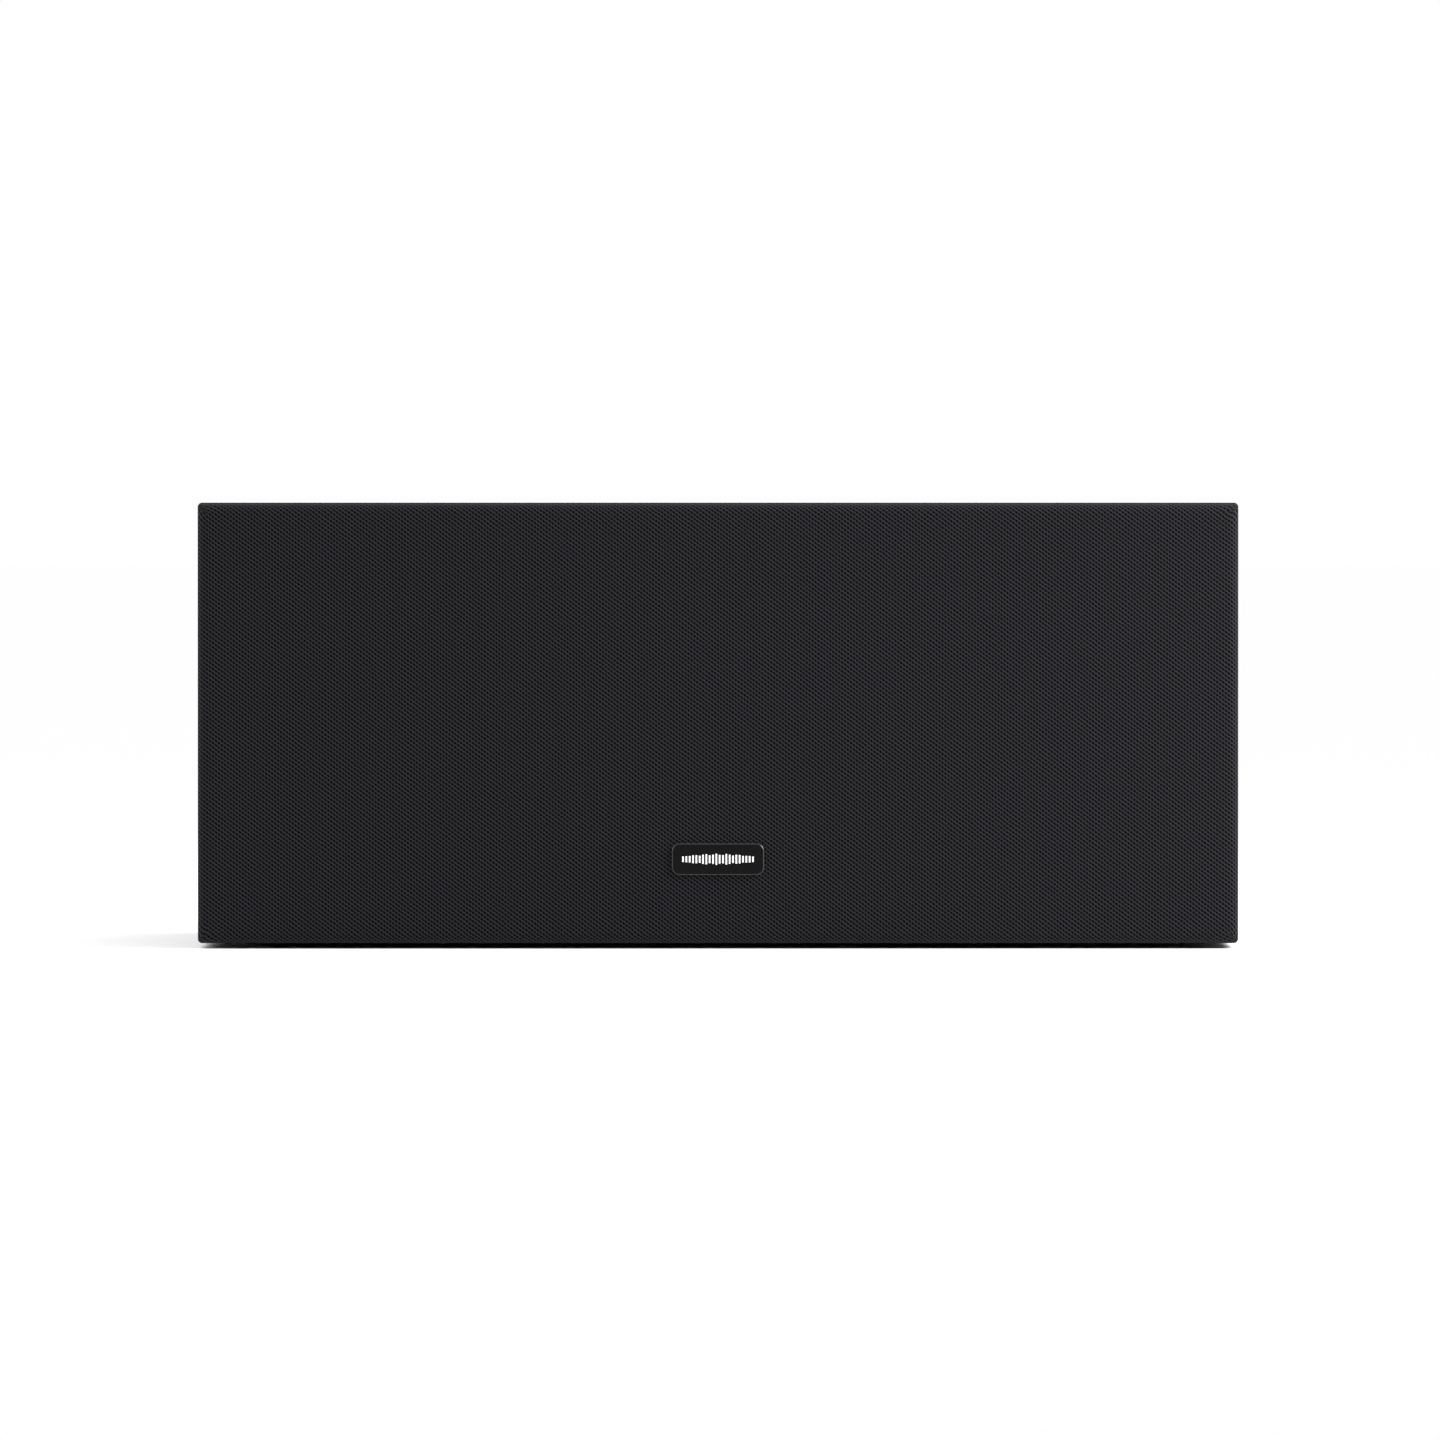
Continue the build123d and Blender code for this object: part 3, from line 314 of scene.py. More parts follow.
gold_plate = grained("gold plated brass", "#c79a45", "#e2bd6b", 0.22, 0.8, 0.004, Metallic=1.0)
stem_radius, stem_length = 3.5, 20.0
collar_radius, collar_height = 6.5, 2.0
shank_radius, plug_radius, plug_floor = 2.5, 2.0, 1.0
shank_end = (stud_low.y - stud_high.y) / MM + stem_length
thread_pitch, thread_depth, thread_step = 1.0, 0.4, 0.125
plain_below, plain_above = 0.6, 0.5
edge = 0.3
stud_profile = [(0, shank_end), (shank_radius - edge, shank_end), (shank_radius, shank_end + edge),
                (shank_radius, 0), (collar_radius - edge, 0), (collar_radius, edge),
                (collar_radius, collar_height - edge), (collar_radius - edge, collar_height),
                (stem_radius, collar_height)]
thread_start = collar_height + plain_below
thread_rows = int((stem_length - plain_above - thread_start) / thread_step)
# The groove runs out over one turn at each end.
run_out = thread_pitch / thread_step
for row in range(thread_rows + 1):
    share = min(1.0, row / run_out, (thread_rows - row) / run_out)
    stud_profile.append((stem_radius, thread_start + row * thread_step, thread_depth * share))
stud_profile += [(stem_radius, stem_length - edge), (stem_radius - edge, stem_length),
                 (plug_radius + edge, stem_length), (plug_radius, stem_length - edge),
                 (plug_radius, plug_floor), (0, plug_floor)]
dress(gold_plate, "red_post_washer", "black_post_washer")
for colour, x in (("red", -post_x), ("black", post_x)):
    stud_place = Matrix.Translation((x, stud_high.y - stem_length * MM, middle_z)) @ cup_outwards
    stud = lathe(stud_profile, 64, stud_place, pitch=thread_pitch)
    piece(f"{colour}_threaded_stud", stud, gold_plate, "cabinet",
          [f"{colour}_post_stud"])

# The knobs are moulded over a brass insert in ABS, coloured for polarity, and their flutes
# carry clear narrow highlights.
red_gloss = grained("gloss red ABS", "#930b0e", "#a81316", 0.3, 3.0, 0.004)
black_gloss = grained("gloss black ABS", "#090909", "#0f0f10", 0.3, 3.0, 0.004)
dress(red_gloss, "red_post_knob")
dress(black_gloss, "black_post_knob")


# --- Crossover ---
# A laminate board on the posts' inner ends, lacquered green and half glossy. It carries
# air-cored coils, amber film capacitors under clear tape, and resistors cast in chalky
# cement, each held down by its leads and a dab of glue.

board_laminate = grained("green solder mask on laminate", "#1f3a22", "#2b5230", 0.45, 2.5, 0.05)
polyester_film = grained("taped polyester film", "#a8742a", "#c08e3c", 0.35, 1.5, 0.03,
                         run=(0.3, 2, 2), Coat_Weight=0.4)
resistor_cement = grained("cast white cement", "#bdb9ad", "#d6d3c8", 0.85, 0.5, 0.08)
dress(board_laminate, "crossover_board")
dress(polyester_film, "crossover_capacitors")
dress(resistor_cement, "crossover_resistors")


def winding_tree(points_per_turn=28, wire_sides=6):
    """A node tree that winds round wire in a spiral or helix, with its sizes as inputs."""
    tree = bpy.data.node_groups.new("wire winding", "GeometryNodeTree")
    face = tree.interface
    sizes = {}
    for name, value in (("Turns", 10.0), ("Start Radius", 0.01), ("End Radius", 0.01),
                        ("Rise", 0.01), ("Wire Radius", 0.0005)):
        socket = face.new_socket(name, in_out="INPUT", socket_type="NodeSocketFloat")
        socket.default_value = value
        sizes[name] = socket.identifier
    skin = face.new_socket("Enamel", in_out="INPUT", socket_type="NodeSocketMaterial")
    sizes["Enamel"] = skin.identifier
    face.new_socket("Mesh", in_out="OUTPUT", socket_type="NodeSocketGeometry")
    given = add(tree, "NodeGroupInput").outputs
    spiral = add(tree, "GeometryNodeCurveSpiral",
                 {"Resolution": points_per_turn, "Rotations": given["Turns"],
                  "Start Radius": given["Start Radius"], "End Radius": given["End Radius"],
                  "Height": given["Rise"]})
    wire = add(tree, "GeometryNodeCurvePrimitiveCircle", {"Resolution": wire_sides,
                                                          "Radius": given["Wire Radius"]})
    swept = add(tree, "GeometryNodeCurveToMesh", {"Curve": spiral.outputs["Curve"],
                                                  "Profile Curve": wire.outputs["Curve"],
                                                  "Fill Caps": True})
    whole = add(tree, "GeometryNodeRealizeInstances", {"Geometry": swept.outputs["Mesh"]})
    smooth = add(tree, "GeometryNodeSetShadeSmooth", {"Geometry": whole.outputs["Geometry"]})
    painted = add(tree, "GeometryNodeSetMaterial", {"Geometry": smooth.outputs["Geometry"],
                                                    "Material": given["Enamel"]})
    add(tree, "NodeGroupOutput", {"Mesh": painted.outputs["Geometry"]})
    return tree, sizes


def grown(tree, identifiers, **values):
    """The plain mesh that a node tree makes with these inputs."""
    seed = bpy.data.objects.new("seed", bpy.data.meshes.new("seed"))
    bpy.context.scene.collection.objects.link(seed)
    modifier = seed.modifiers.new("grow", "NODES")
    modifier.node_group = tree
    for name, value in values.items():
        modifier[identifiers[name.replace("_", " ")]] = value
    seed.update_tag()
    bpy.context.view_layer.update()
    mesh = bpy.data.meshes.new_from_object(seed.evaluated_get(
        bpy.context.evaluated_depsgraph_get()))
    bpy.data.objects.remove(seed)
    return mesh


def joined(name, parts):
    """One mesh from several, each with its own place."""
    built = bmesh.new()
    for mesh, place in parts:
        mesh.transform(place)
        built.from_mesh(mesh)
    whole = bpy.data.meshes.new(name)
    built.to_mesh(whole)
    built.free()
    whole.materials.append(parts[0][0].materials[0])
    return whole


# Enamelled wire is red-brown metal under a clear varnish, and each turn has its own gleam.
copper = grained("enamelled copper wire", "#8a4a22", "#b3683a", 0.28, 0.6, 0.01, Metallic=1.0,
                 Coat_Weight=0.5)
wind, wind_inputs = winding_tree()
board_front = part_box("crossover_board")[0].y
forwards = Matrix.Rotation(radians(90), 4, "X")
coil_wire, wire_share = 1.0, 0.97
half = coil_wire / 2
# Each coil: place across and up from the board's middle, bore, outer radius and height.
coils = ((-26.5, 13.0, 6.0, 16.0, 16.0), (29.0, -15.0, 4.5, 12.5, 12.0))
coil_parts = []
for across, rise, bore, outer, height in coils:
    stand = Matrix.Translation((across * MM, board_front, middle_z + rise * MM)) @ forwards
    # The turns that don't show are one solid ring.
    ring = [(bore + half, half), (outer - half, half), (outer - half, height - half),
            (bore + half, height - half)]
    core = lathe(ring, 48, stand)
    core.materials.append(copper)
    coil_parts.append((core, Matrix.Identity(4)))
    # Outside, bore, lower and upper end: first and last radius, climb, and lift from below.
    layers = ((outer - half, outer - half, height - coil_wire, 0.0),
              (bore + half, bore + half, height - coil_wire, 0.0),
              (bore + half, outer - half, 0.0, 0.0),
              (bore + half, outer - half, 0.0, height - coil_wire))
    for start, end, climb, lift in layers:
        turns = (climb or end - start) / coil_wire
        layer = grown(wind, wind_inputs, Turns=turns, Start_Radius=start * MM, End_Radius=end * MM,
                      Rise=climb * MM, Wire_Radius=half * wire_share * MM, Enamel=copper)
        coil_parts.append((layer, stand @ Matrix.Translation((0, 0, (half + lift) * MM))))
piece("wound_inductors", joined("wound inductors", coil_parts), None, "cabinet",
      ["crossover_inductors"])


# --- Internal cables and driver terminals ---
# Two-core leads in soft black PVC with a faint sheen, soldered at the board and pushed on at
# each driver. The terminal boards are brown phenolic laminate with streaks of its paper.

cable_jacket = grained("soft black PVC", "#151516", "#202022", 0.42, 1.0, 0.02)
phenolic = grained("brown phenolic laminate", "#5a3218", "#744525", 0.5, 0.9, 0.03, run=(1, 2, 1))
dress(cable_jacket, "woofer_wires", "tweeter_wires")
dress(phenolic, "driver_terminals")


# --- Wadding ---
# Pads of felted polyester, white with a soft halo, cut by hand and laid on the top and bottom
# of the chambers. They are uneven: crowned in the middle, thin and ragged at their edges.

fleece = grained("felted polyester wadding", "#c9c9c4", "#e6e6e1", 0.95, 1.2, 0.5, detail=8.0,
                 Sheen_Weight=0.4)
pads_low, pads_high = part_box("acoustic_wadding")
pad_inner_x = 69.0 * MM
pad_thickness = 12.0 * MM
wave_height, wave_length = 1.6 * MM, 30.0 * MM
fuzz_height, fuzz_length = 0.5 * MM, 4.0 * MM
fuzz_shift = Vector((5, 5, 5))
pad_edge, edge_share, underside_share = 7.0 * MM, 0.25, 0.9
full = pad_thickness - 2 * wave_height
cells_x, cells_y = 42, 52
built = bmesh.new()
for side in (-1, 1):
    for base in (pads_low.z, pads_high.z - pad_thickness):
        grids = []
        for face in (0, 1):
            grid = []
            for i in range(cells_x + 1):
                for j in range(cells_y + 1):
                    x = side * (pad_inner_x + (pads_high.x - pad_inner_x) * i / cells_x)
                    y = pads_low.y + (pads_high.y - pads_low.y) * j / cells_y
                    inset = min(abs(x) - pad_inner_x, pads_high.x - abs(x), y - pads_low.y,
                                pads_high.y - y)
                    swell = min(1.0, max(inset, 0) / pad_edge)
                    round_off = (1 - (1 - swell) ** 2) ** 0.5
                    wave = noise.noise(Vector((x, y, base)) / wave_length)
                    fuzz = noise.noise(Vector((x, y, base)) / fuzz_length + fuzz_shift * face)
                    crown = full / 2 * (edge_share + (1 - edge_share) * round_off)
                    rise = crown + wave_height * wave + fuzz_height * fuzz
                    z = base + pad_thickness / 2 + (rise if face else -rise * underside_share)
                    grid.append(built.verts.new((x, y, z)))
            grids.append(grid)
        row = cells_y + 1
        for grid in grids:
            for i in range(cells_x):
                for j in range(cells_y):
                    at = i * row + j
                    built.faces.new((grid[at], grid[at + row], grid[at + row + 1], grid[at + 1]))
        rim = ([i * row for i in range(cells_x)] + [cells_x * row + j for j in range(cells_y)]
               + [i * row + cells_y for i in range(cells_x, 0, -1)] + list(range(cells_y, 0, -1)))
        for here, there in zip(rim, rim[1:] + rim[:1]):
            built.faces.new((grids[0][here], grids[0][there], grids[1][there], grids[1][here]))
wadding_mesh = finished(built, "wadding")
wadding_mesh.shade_smooth()
wadding = piece("fleece_wadding", wadding_mesh, fleece, "cabinet", ["acoustic_wadding"])


# --- Woofer frames and motors ---
# Die-cast baskets with a satin black powder coat, and ground ferrite ring magnets between
# zinc plated steel plates. Ferrite is dull and dark grey, with a faint glint of metal.

powder_coat = grained("satin black powder coat", "#101011", "#1a1a1c", 0.42, 0.5, 0.04)
ground_ferrite = grained("ground ferrite", "#2b2b2f", "#3d3d42", 0.55, 0.8, 0.05, Metallic=0.3)
dress(powder_coat, "woofer_left_basket", "woofer_right_basket")
dress(ground_ferrite, "woofer_left_magnet", "woofer_right_magnet", "tweeter_magnet")


# --- Woofer cones and dust caps ---
# Moulded from mica-filled polypropylene: satin black, with a faint lustre and the fine
# concentric lines that the tool leaves. The dust caps are the same material, smoother.

basket_low, basket_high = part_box("woofer_right_basket")
woofer_x = (basket_low.x + basket_high.x) / 2
baffle_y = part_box("front_baffle")[0].y


def add_rings(material, pitch, relief):
    """Adds moulded rings about each woofer's axis, with a pitch in millimetres, to a finish."""
    tree = material.node_tree
    place = add(tree, "ShaderNodeTexCoord").outputs["Object"]
    axes = add(tree, "ShaderNodeSeparateXYZ", {"Vector": place}).outputs
    side = add(tree, "ShaderNodeMath", {0: axes["X"]}, operation="ABSOLUTE").outputs[0]
    across = add(tree, "ShaderNodeMath", {0: side, 1: woofer_x}, operation="SUBTRACT").outputs[0]
    up = add(tree, "ShaderNodeMath", {0: axes["Z"], 1: middle_z}, operation="SUBTRACT").outputs[0]
    flat = add(tree, "ShaderNodeCombineXYZ", {"X": across, "Y": up}).outputs["Vector"]
    reach = add(tree, "ShaderNodeVectorMath", {0: flat}, operation="LENGTH").outputs["Value"]
    phase = add(tree, "ShaderNodeMath", {0: reach, 1: 2 * pi / (pitch * MM)},
                operation="MULTIPLY").outputs[0]
    ridge = add(tree, "ShaderNodeMath", {0: phase}, operation="SINE").outputs[0]
    shader = tree.nodes["Principled BSDF"]
    first = shader.inputs["Normal"].links[0].from_socket
    bump = add(tree, "ShaderNodeBump", {"Height": ridge, "Distance": relief * MM, "Normal": first})
    tree.links.new(bump.outputs["Normal"], shader.inputs["Normal"])


cone_polypropylene = grained("mica-filled polypropylene", "#1c1c1e", "#2e2e32", 0.4, 0.4, 0.02,
                             Specular_IOR_Level=0.6)
cap_polypropylene = grained("smooth black polypropylene", "#141415", "#1c1c1e", 0.34, 0.6, 0.01)
add_rings(cone_polypropylene, pitch=1.6, relief=0.03)
dress(cone_polypropylene, "woofer_left_cone", "woofer_right_cone")
dress(cap_polypropylene, "woofer_left_dust_cap", "woofer_right_dust_cap")


# --- Surrounds and spiders ---
# The surround is a half roll of soft black butyl rubber, glued to the cone's lip and the
# basket's seat. The spider is ochre cotton, stiffened with resin and pressed into waves. Both
# stretch between the basket and the cone, so each follows the cone less towards its rim.

def out_of_baffle(x):
    """The place of a driver's own frame, with +Z outwards, on the baffle's front."""
    return Matrix.Translation((x, baffle_y, middle_z)) @ forwards


def rolled(inner_end, middle, radius, outer_end, base, wall, parts=20):
    """The closed profile of a half roll with a flap on each side, on a flat base."""
    inside, outside = radius - wall / 2, radius + wall / 2
    top = base + wall
    rim = asin(wall / outside)
    under = [(middle - inside * cos(pi * i / parts), base + inside * sin(pi * i / parts))
             for i in range(parts + 1)]
    over = [(middle + outside * cos(rim + (pi - 2 * rim) * i / parts),
             base + outside * sin(rim + (pi - 2 * rim) * i / parts)) for i in range(parts + 1)]
    return [(inner_end, base), *under, (outer_end, base), (outer_end, top), *over,
            (inner_end, top)]


def stretch(made, x, moving_body, moving_radius, fixed_radius):
    """Makes a disc follow the moving body at its middle and stay on the cabinet at its rim.

    The blend is made along a line, so its weights are then set again, by distance from the axis.
    """
    centre = Vector((x, baffle_y, middle_z))
    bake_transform(made, "cabinet", moving_body, start=centre, end=centre + Vector((1, 0, 0)))
    weights = made.data.attributes["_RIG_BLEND"].data
    for vertex, weight in zip(made.data.vertices, weights):
        reach = hypot(vertex.co.x - x, vertex.co.z - middle_z) / MM
        share = min(1.0, max(0.0, (fixed_radius - reach) / (fixed_radius - moving_radius)))
        weight.value = share * share * (3 - 2 * share)


butyl = grained("moulded butyl rubber", "#101011", "#19191a", 0.55, 0.5, 0.015)
resin_cotton = grained("resin-stiffened cotton", "#8d6b30", "#b18b48", 0.85, 0.5, 0.12)
roll_base, roll_middle, roll_radius, roll_wall = -1.2, 62.0, 5.0, 0.9
lip_radius, seat_radius = 54.0, 72.3
spider_level, spider_bore, spider_inner, spider_outer, spider_rim = -45.75, 12.98, 14.55, 42.0, 46.0
spider_swing, spider_waves, spider_wall, points_per_wave = 1.2, 5, 0.5, 12
steps = spider_waves * points_per_wave
spider_line = [(spider_bore, spider_level)]
for i in range(steps + 1):
    wave_share = i / steps
    spider_line.append((spider_inner + (spider_outer - spider_inner) * wave_share,
                        spider_level + spider_swing * sin(2 * pi * spider_waves * wave_share)))
spider_line.append((spider_rim, spider_level))
spider_profile = ([(r, z - spider_wall / 2) for r, z in spider_line]
                  + [(r, z + spider_wall / 2) for r, z in reversed(spider_line)])
for side, x in (("left", -woofer_x), ("right", woofer_x)):
    roll = lathe(rolled(lip_radius, roll_middle, roll_radius, seat_radius, roll_base, roll_wall),
                 144, out_of_baffle(x))
    surround = piece(f"{side}_rubber_surround", roll, butyl,
                     nodes=[f"woofer_{side}_surround"])
    stretch(surround, x, f"{side}_cone", roll_middle - roll_radius, roll_middle + roll_radius)
    waves = lathe(spider_profile, 96, out_of_baffle(x))
    spider = piece(f"{side}_pressed_spider", waves, resin_cotton,
                   nodes=[f"woofer_{side}_spider"])
    stretch(spider, x, f"{side}_cone", spider_inner, spider_outer)


# --- Voice coils ---
# A single layer of enamelled copper wire on a thin tube of bright aluminium, glued in the
# cone's neck for the woofers and under the dome for the tweeter.

former_foil = grained("thin aluminium foil", "#a9abb0", "#c6c8cc", 0.3, 0.8, 0.005, Metallic=1.0)
# Each coil: place, tube's inner radius, wall, front and rear, then the winding's front and
# rear, its wire radius, and the body and node it belongs to.
woofer_coil = (12.75, 0.2, -38.0, -64.0, -50.0, -63.0, 0.3)
tweeter_coil = (12.45, 0.2, -4.5, -9.0, -5.5, -8.0, 0.15)
voice_coils = ((-woofer_x, *woofer_coil, "left_cone", "woofer_left_voice_coil"),
               (woofer_x, *woofer_coil, "right_cone", "woofer_right_voice_coil"),
               (0.0, *tweeter_coil, "tweeter_diaphragm", "tweeter_voice_coil"))
fine_wire_share = 0.98
for x, inner, wall, front, rear, wire_front, wire_rear, wire, body, node in voice_coils:
    tube = lathe([(inner, rear), (inner + wall, rear), (inner + wall, front), (inner, front)], 96,
                 out_of_baffle(x))
    piece(node + "_former", tube, former_foil, body, [node])
    reach = inner + wall + wire
    length = wire_front - wire_rear - 2 * wire
    turns = grown(wind, wind_inputs, Turns=length / (2 * wire), Start_Radius=reach * MM,
                  End_Radius=reach * MM, Rise=length * MM,
                  Wire_Radius=wire * fine_wire_share * MM, Enamel=copper)
    turns.transform(out_of_baffle(x) @ Matrix.Translation((0, 0, (wire_rear + wire) * MM)))
    piece(node + "_winding", turns, None, body)


# --- Tweeter ---
# A moulded faceplate with a shallow flare, a dome of coated silk, which is half matt and
# finely woven, and round it a small roll of the same silk that stretches as the dome moves.

coated_silk = grained("coated black silk", "#17171a", "#28282d", 0.5, 0.25, 0.05, Sheen_Weight=0.3)
dress(black_abs, "tweeter_faceplate")
dress(coated_silk, "tweeter_dome")
silk_base, silk_middle, silk_roll, silk_wall = -4.5, 14.05, 1.05, 0.3
silk_inner, silk_outer = 12.85, 17.8
silk_profile = rolled(silk_inner, silk_middle, silk_roll, silk_outer, silk_base, silk_wall,
                      parts=14)
silk = lathe(silk_profile, 96, out_of_baffle(0))
silk_ring = piece("tweeter_silk_roll", silk, coated_silk,
                  nodes=["tweeter_surround"])
stretch(silk_ring, 0.0, "tweeter_diaphragm", silk_middle - silk_roll, silk_middle + silk_roll)


# --- Grille frame and pegs ---
# One moulding in black ABS, stiff enough to hold the cloth flat, with round-ended pegs
# pressed into its back.

dress(black_abs, "grille_frame", "grille_pegs")


# --- Grille cloth ---
# Acoustically open warp-knitted polyester, dyed black, pulled tight over the frame, rolled
# round its front edge and glued down behind it, with small tucks where it turns the corners.

cloth_low, cloth_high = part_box("grille_cloth")
half_width = cloth_high.x
half_height = (cloth_high.z - cloth_low.z) / 2
cloth_front = cloth_low.y
cloth_rear = cloth_high.y
roll_off = 4.6 * MM
corner_radius = 1.8 * MM
fold_width = 6.0 * MM
fold_radius = 0.5 * MM
tuck_depth = 0.2 * MM
cloth_wall = 0.5 * MM
window_sag = 0.25 * MM
weld = 0.002 * MM
windows = 3
cells_long, cells_short, cells_corner = 72, 30, 8
cells_rolled, cells_side, cells_turned, cells_glued = 9, 5, 4, 4


def cloth_section():
    """Rings from the flat front to the glued edge: inset, depth, length of cloth so far."""
    rings = []
    for i in range(cells_rolled + 1):
        angle = pi / 2 * i / cells_rolled
        rings.append((roll_off * (1 - sin(angle)), roll_off * (1 - cos(angle)), roll_off * angle))
    run = roll_off * pi / 2
    depth = cloth_rear - cloth_front
    straight = depth - roll_off - fold_radius
    for i in range(1, cells_side + 1):
        reach = straight * i / cells_side
        rings.append((0.0, roll_off + reach, run + reach))
    run += straight
    for i in range(1, cells_turned + 1):
        angle = pi / 2 * i / cells_turned
        rings.append((fold_radius * (1 - cos(angle)), depth - fold_radius * (1 - sin(angle)),
                      run + fold_radius * angle))
    run += fold_radius * pi / 2
    for i in range(1, cells_glued + 1):
        reach = (fold_width - fold_radius) * i / cells_glued
        rings.append((fold_radius + reach, depth, run + reach))
    return rings


def outline(inset):
    """Points round the grille at an inset: place, outward direction, share of a corner turned."""
    radius = corner_radius * (1 - inset / roll_off)
    wide, high = half_width - inset - radius, half_height - inset - radius
    centres = ((wide, high), (-wide, high), (-wide, -high), (wide, -high))
    points = []
    for quarter, (cx, cz) in enumerate(centres):
        for i in range(cells_corner + 1):
            turn = i / cells_corner
            angle = pi / 2 * (quarter + turn)
            points.append((cx + radius * cos(angle), cz + radius * sin(angle), cos(angle),
                           sin(angle), turn))
        next_x, next_z = centres[(quarter + 1) % 4]
        nx, nz = ((0, 1), (-1, 0), (0, -1), (1, 0))[quarter]
        cells = cells_long if nx == 0 else cells_short
        for i in range(1, cells):
            x = cx + (next_x - cx) * i / cells + radius * nx
            z = cz + (next_z - cz) * i / cells + radius * nz
            points.append((x, z, nx, nz, 0.0))
    return points


built = bmesh.new()
weave = built.loops.layers.uv.new("Weave")
spot = {}
section = cloth_section()
flat_x, flat_z = half_width - roll_off, half_height - roll_off
rows = []
for number, (inset, depth, run) in enumerate(section):
    row = []
    glued = number >= len(section) - cells_glued
    for x, z, nx, nz, turn in outline(min(inset, roll_off)):
        past_corner = max(0.0, inset - roll_off)
        x -= nx * past_corner
        z -= nz * past_corner
        tuck = tuck_depth * abs(sin(4 * pi * turn)) if glued else 0.0
        vertex = built.verts.new((x, cloth_front + depth + tuck, middle_z + z))
        spot[vertex] = (max(-flat_x, min(flat_x, x)) + run * nx,
                        max(-flat_z, min(flat_z, z)) + run * nz)
        row.append(vertex)
    rows.append(row)
for outer, inner in zip(rows, rows[1:]):
    for i in range(len(outer)):
        after = (i + 1) % len(outer)
        built.faces.new((outer[i], outer[after], inner[after], inner[i]))
field = []
for i in range(cells_long + 1):
    for j in range(cells_short + 1):
        x = -flat_x + 2 * flat_x * i / cells_long
        z = -flat_z + 2 * flat_z * j / cells_short
        dip = sin(pi * windows * (x / flat_x + 1) / 2) ** 2
        sag = window_sag * (1 - (z / flat_z) ** 2) * dip
        vertex = built.verts.new((x, cloth_front + sag, middle_z + z))
        spot[vertex] = (x, z)
        field.append(vertex)
for i in range(cells_long):
    for j in range(cells_short):
        at = i * (cells_short + 1) + j
        built.faces.new((field[at], field[at + cells_short + 1], field[at + cells_short + 2],
                         field[at + 1]))
for face in built.faces:
    for loop in face.loops:
        loop[weave].uv = spot[loop.vert]
bmesh.ops.remove_doubles(built, verts=built.verts, dist=weld)
bmesh.ops.recalc_face_normals(built, faces=built.faces)
# The cloth is open behind, so its foremost face says which way is out.
front_face = min(built.faces, key=lambda face: face.calc_center_median().y)
if front_face.normal.y > 0:
    bmesh.ops.reverse_faces(built, faces=built.faces)
cloth_mesh = bpy.data.meshes.new("grille cloth")
built.to_mesh(cloth_mesh)
built.free()
cloth_mesh.shade_smooth()

# Knit: rows of small staggered eyelets, on diagonals that fall to the right at 36 degrees,
# between charcoal yarns with hardly any gloss. The eyelets are painted nearly black: that is
# the black baffle seen through them and painted shade in the openings. The real eyelets are
# 1.25 mm apart. They are drawn a third larger, so that they show. Rising rows and upright ribs
# are weaker than the falling rows, and the rows wander a little, as a knit's do.
eyelet_across, eyelet_up = 2.66 * MM, 1.96 * MM
wander, rising_share, rib_share = 0.5 * MM, 0.35, 0.5
yarn_level, eyelet_level = -0.6, 0.8
knit_relief, fibre_share = 0.3 * MM, 0.25
# Each pattern's cells in a metre of cloth.
drift_cells, fibre_cells, cloud_cells = 180.0, 2400.0, 14.0
knit = bpy.data.materials.new("warp-knitted black polyester")
knit.use_nodes = True
tree = knit.node_tree
shader = tree.nodes["Principled BSDF"]
shader.inputs["Sheen Weight"].default_value = 0.05
shader.inputs["Sheen Roughness"].default_value = 0.45
shader.inputs["Specular IOR Level"].default_value = 0.02
cut = add(tree, "ShaderNodeUVMap", uv_map="Weave").outputs["UV"]
drift = add(tree, "ShaderNodeTexNoise", {"Vector": cut, "Scale": drift_cells,
                                         "Detail": 1.0}).outputs["Color"]
drift = add(tree, "ShaderNodeVectorMath", {0: drift, 1: (0.5, 0.5, 0.5)},
            operation="SUBTRACT").outputs[0]
drift = add(tree, "ShaderNodeVectorMath", {0: drift, "Scale": wander},
            operation="SCALE").outputs[0]
wandered = add(tree, "ShaderNodeVectorMath", {0: cut, 1: drift}, operation="ADD").outputs[0]
along = add(tree, "ShaderNodeSeparateXYZ", {"Vector": wandered}).outputs
across = add(tree, "ShaderNodeMath", {0: along["X"], 1: 2 * pi / eyelet_across},
             operation="MULTIPLY").outputs[0]
up = add(tree, "ShaderNodeMath", {0: along["Y"], 1: 2 * pi / eyelet_up},
         operation="MULTIPLY").outputs[0]
falling = add(tree, "ShaderNodeMath", {0: across, 1: up}, operation="ADD").outputs[0]
rising = add(tree, "ShaderNodeMath", {0: across, 1: up}, operation="SUBTRACT").outputs[0]
falling = add(tree, "ShaderNodeMath", {0: falling}, operation="COSINE").outputs[0]
rising = add(tree, "ShaderNodeMath", {0: rising}, operation="COSINE").outputs[0]
ribs = add(tree, "ShaderNodeMath", {0: across, 1: 2.0}, operation="MULTIPLY").outputs[0]
ribs = add(tree, "ShaderNodeMath", {0: ribs}, operation="COSINE").outputs[0]
open_mesh = add(tree, "ShaderNodeMath", {0: rising, 1: rising_share, 2: falling},
                operation="MULTIPLY_ADD").outputs[0]
open_mesh = add(tree, "ShaderNodeMath", {0: ribs, 1: rib_share, 2: open_mesh},
                operation="MULTIPLY_ADD").outputs[0]
eyelet = add(tree, "ShaderNodeMapRange", {"Value": open_mesh, "From Min": yarn_level,
                                          "From Max": eyelet_level},
             interpolation_type="SMOOTHSTEP").outputs["Result"]
fibre = add(tree, "ShaderNodeTexNoise", {"Vector": cut, "Scale": fibre_cells,
                                         "Detail": 3.0}).outputs["Fac"]
cloud = add(tree, "ShaderNodeTexNoise", {"Vector": cut, "Scale": cloud_cells,
                                         "Detail": 2.0}).outputs["Fac"]
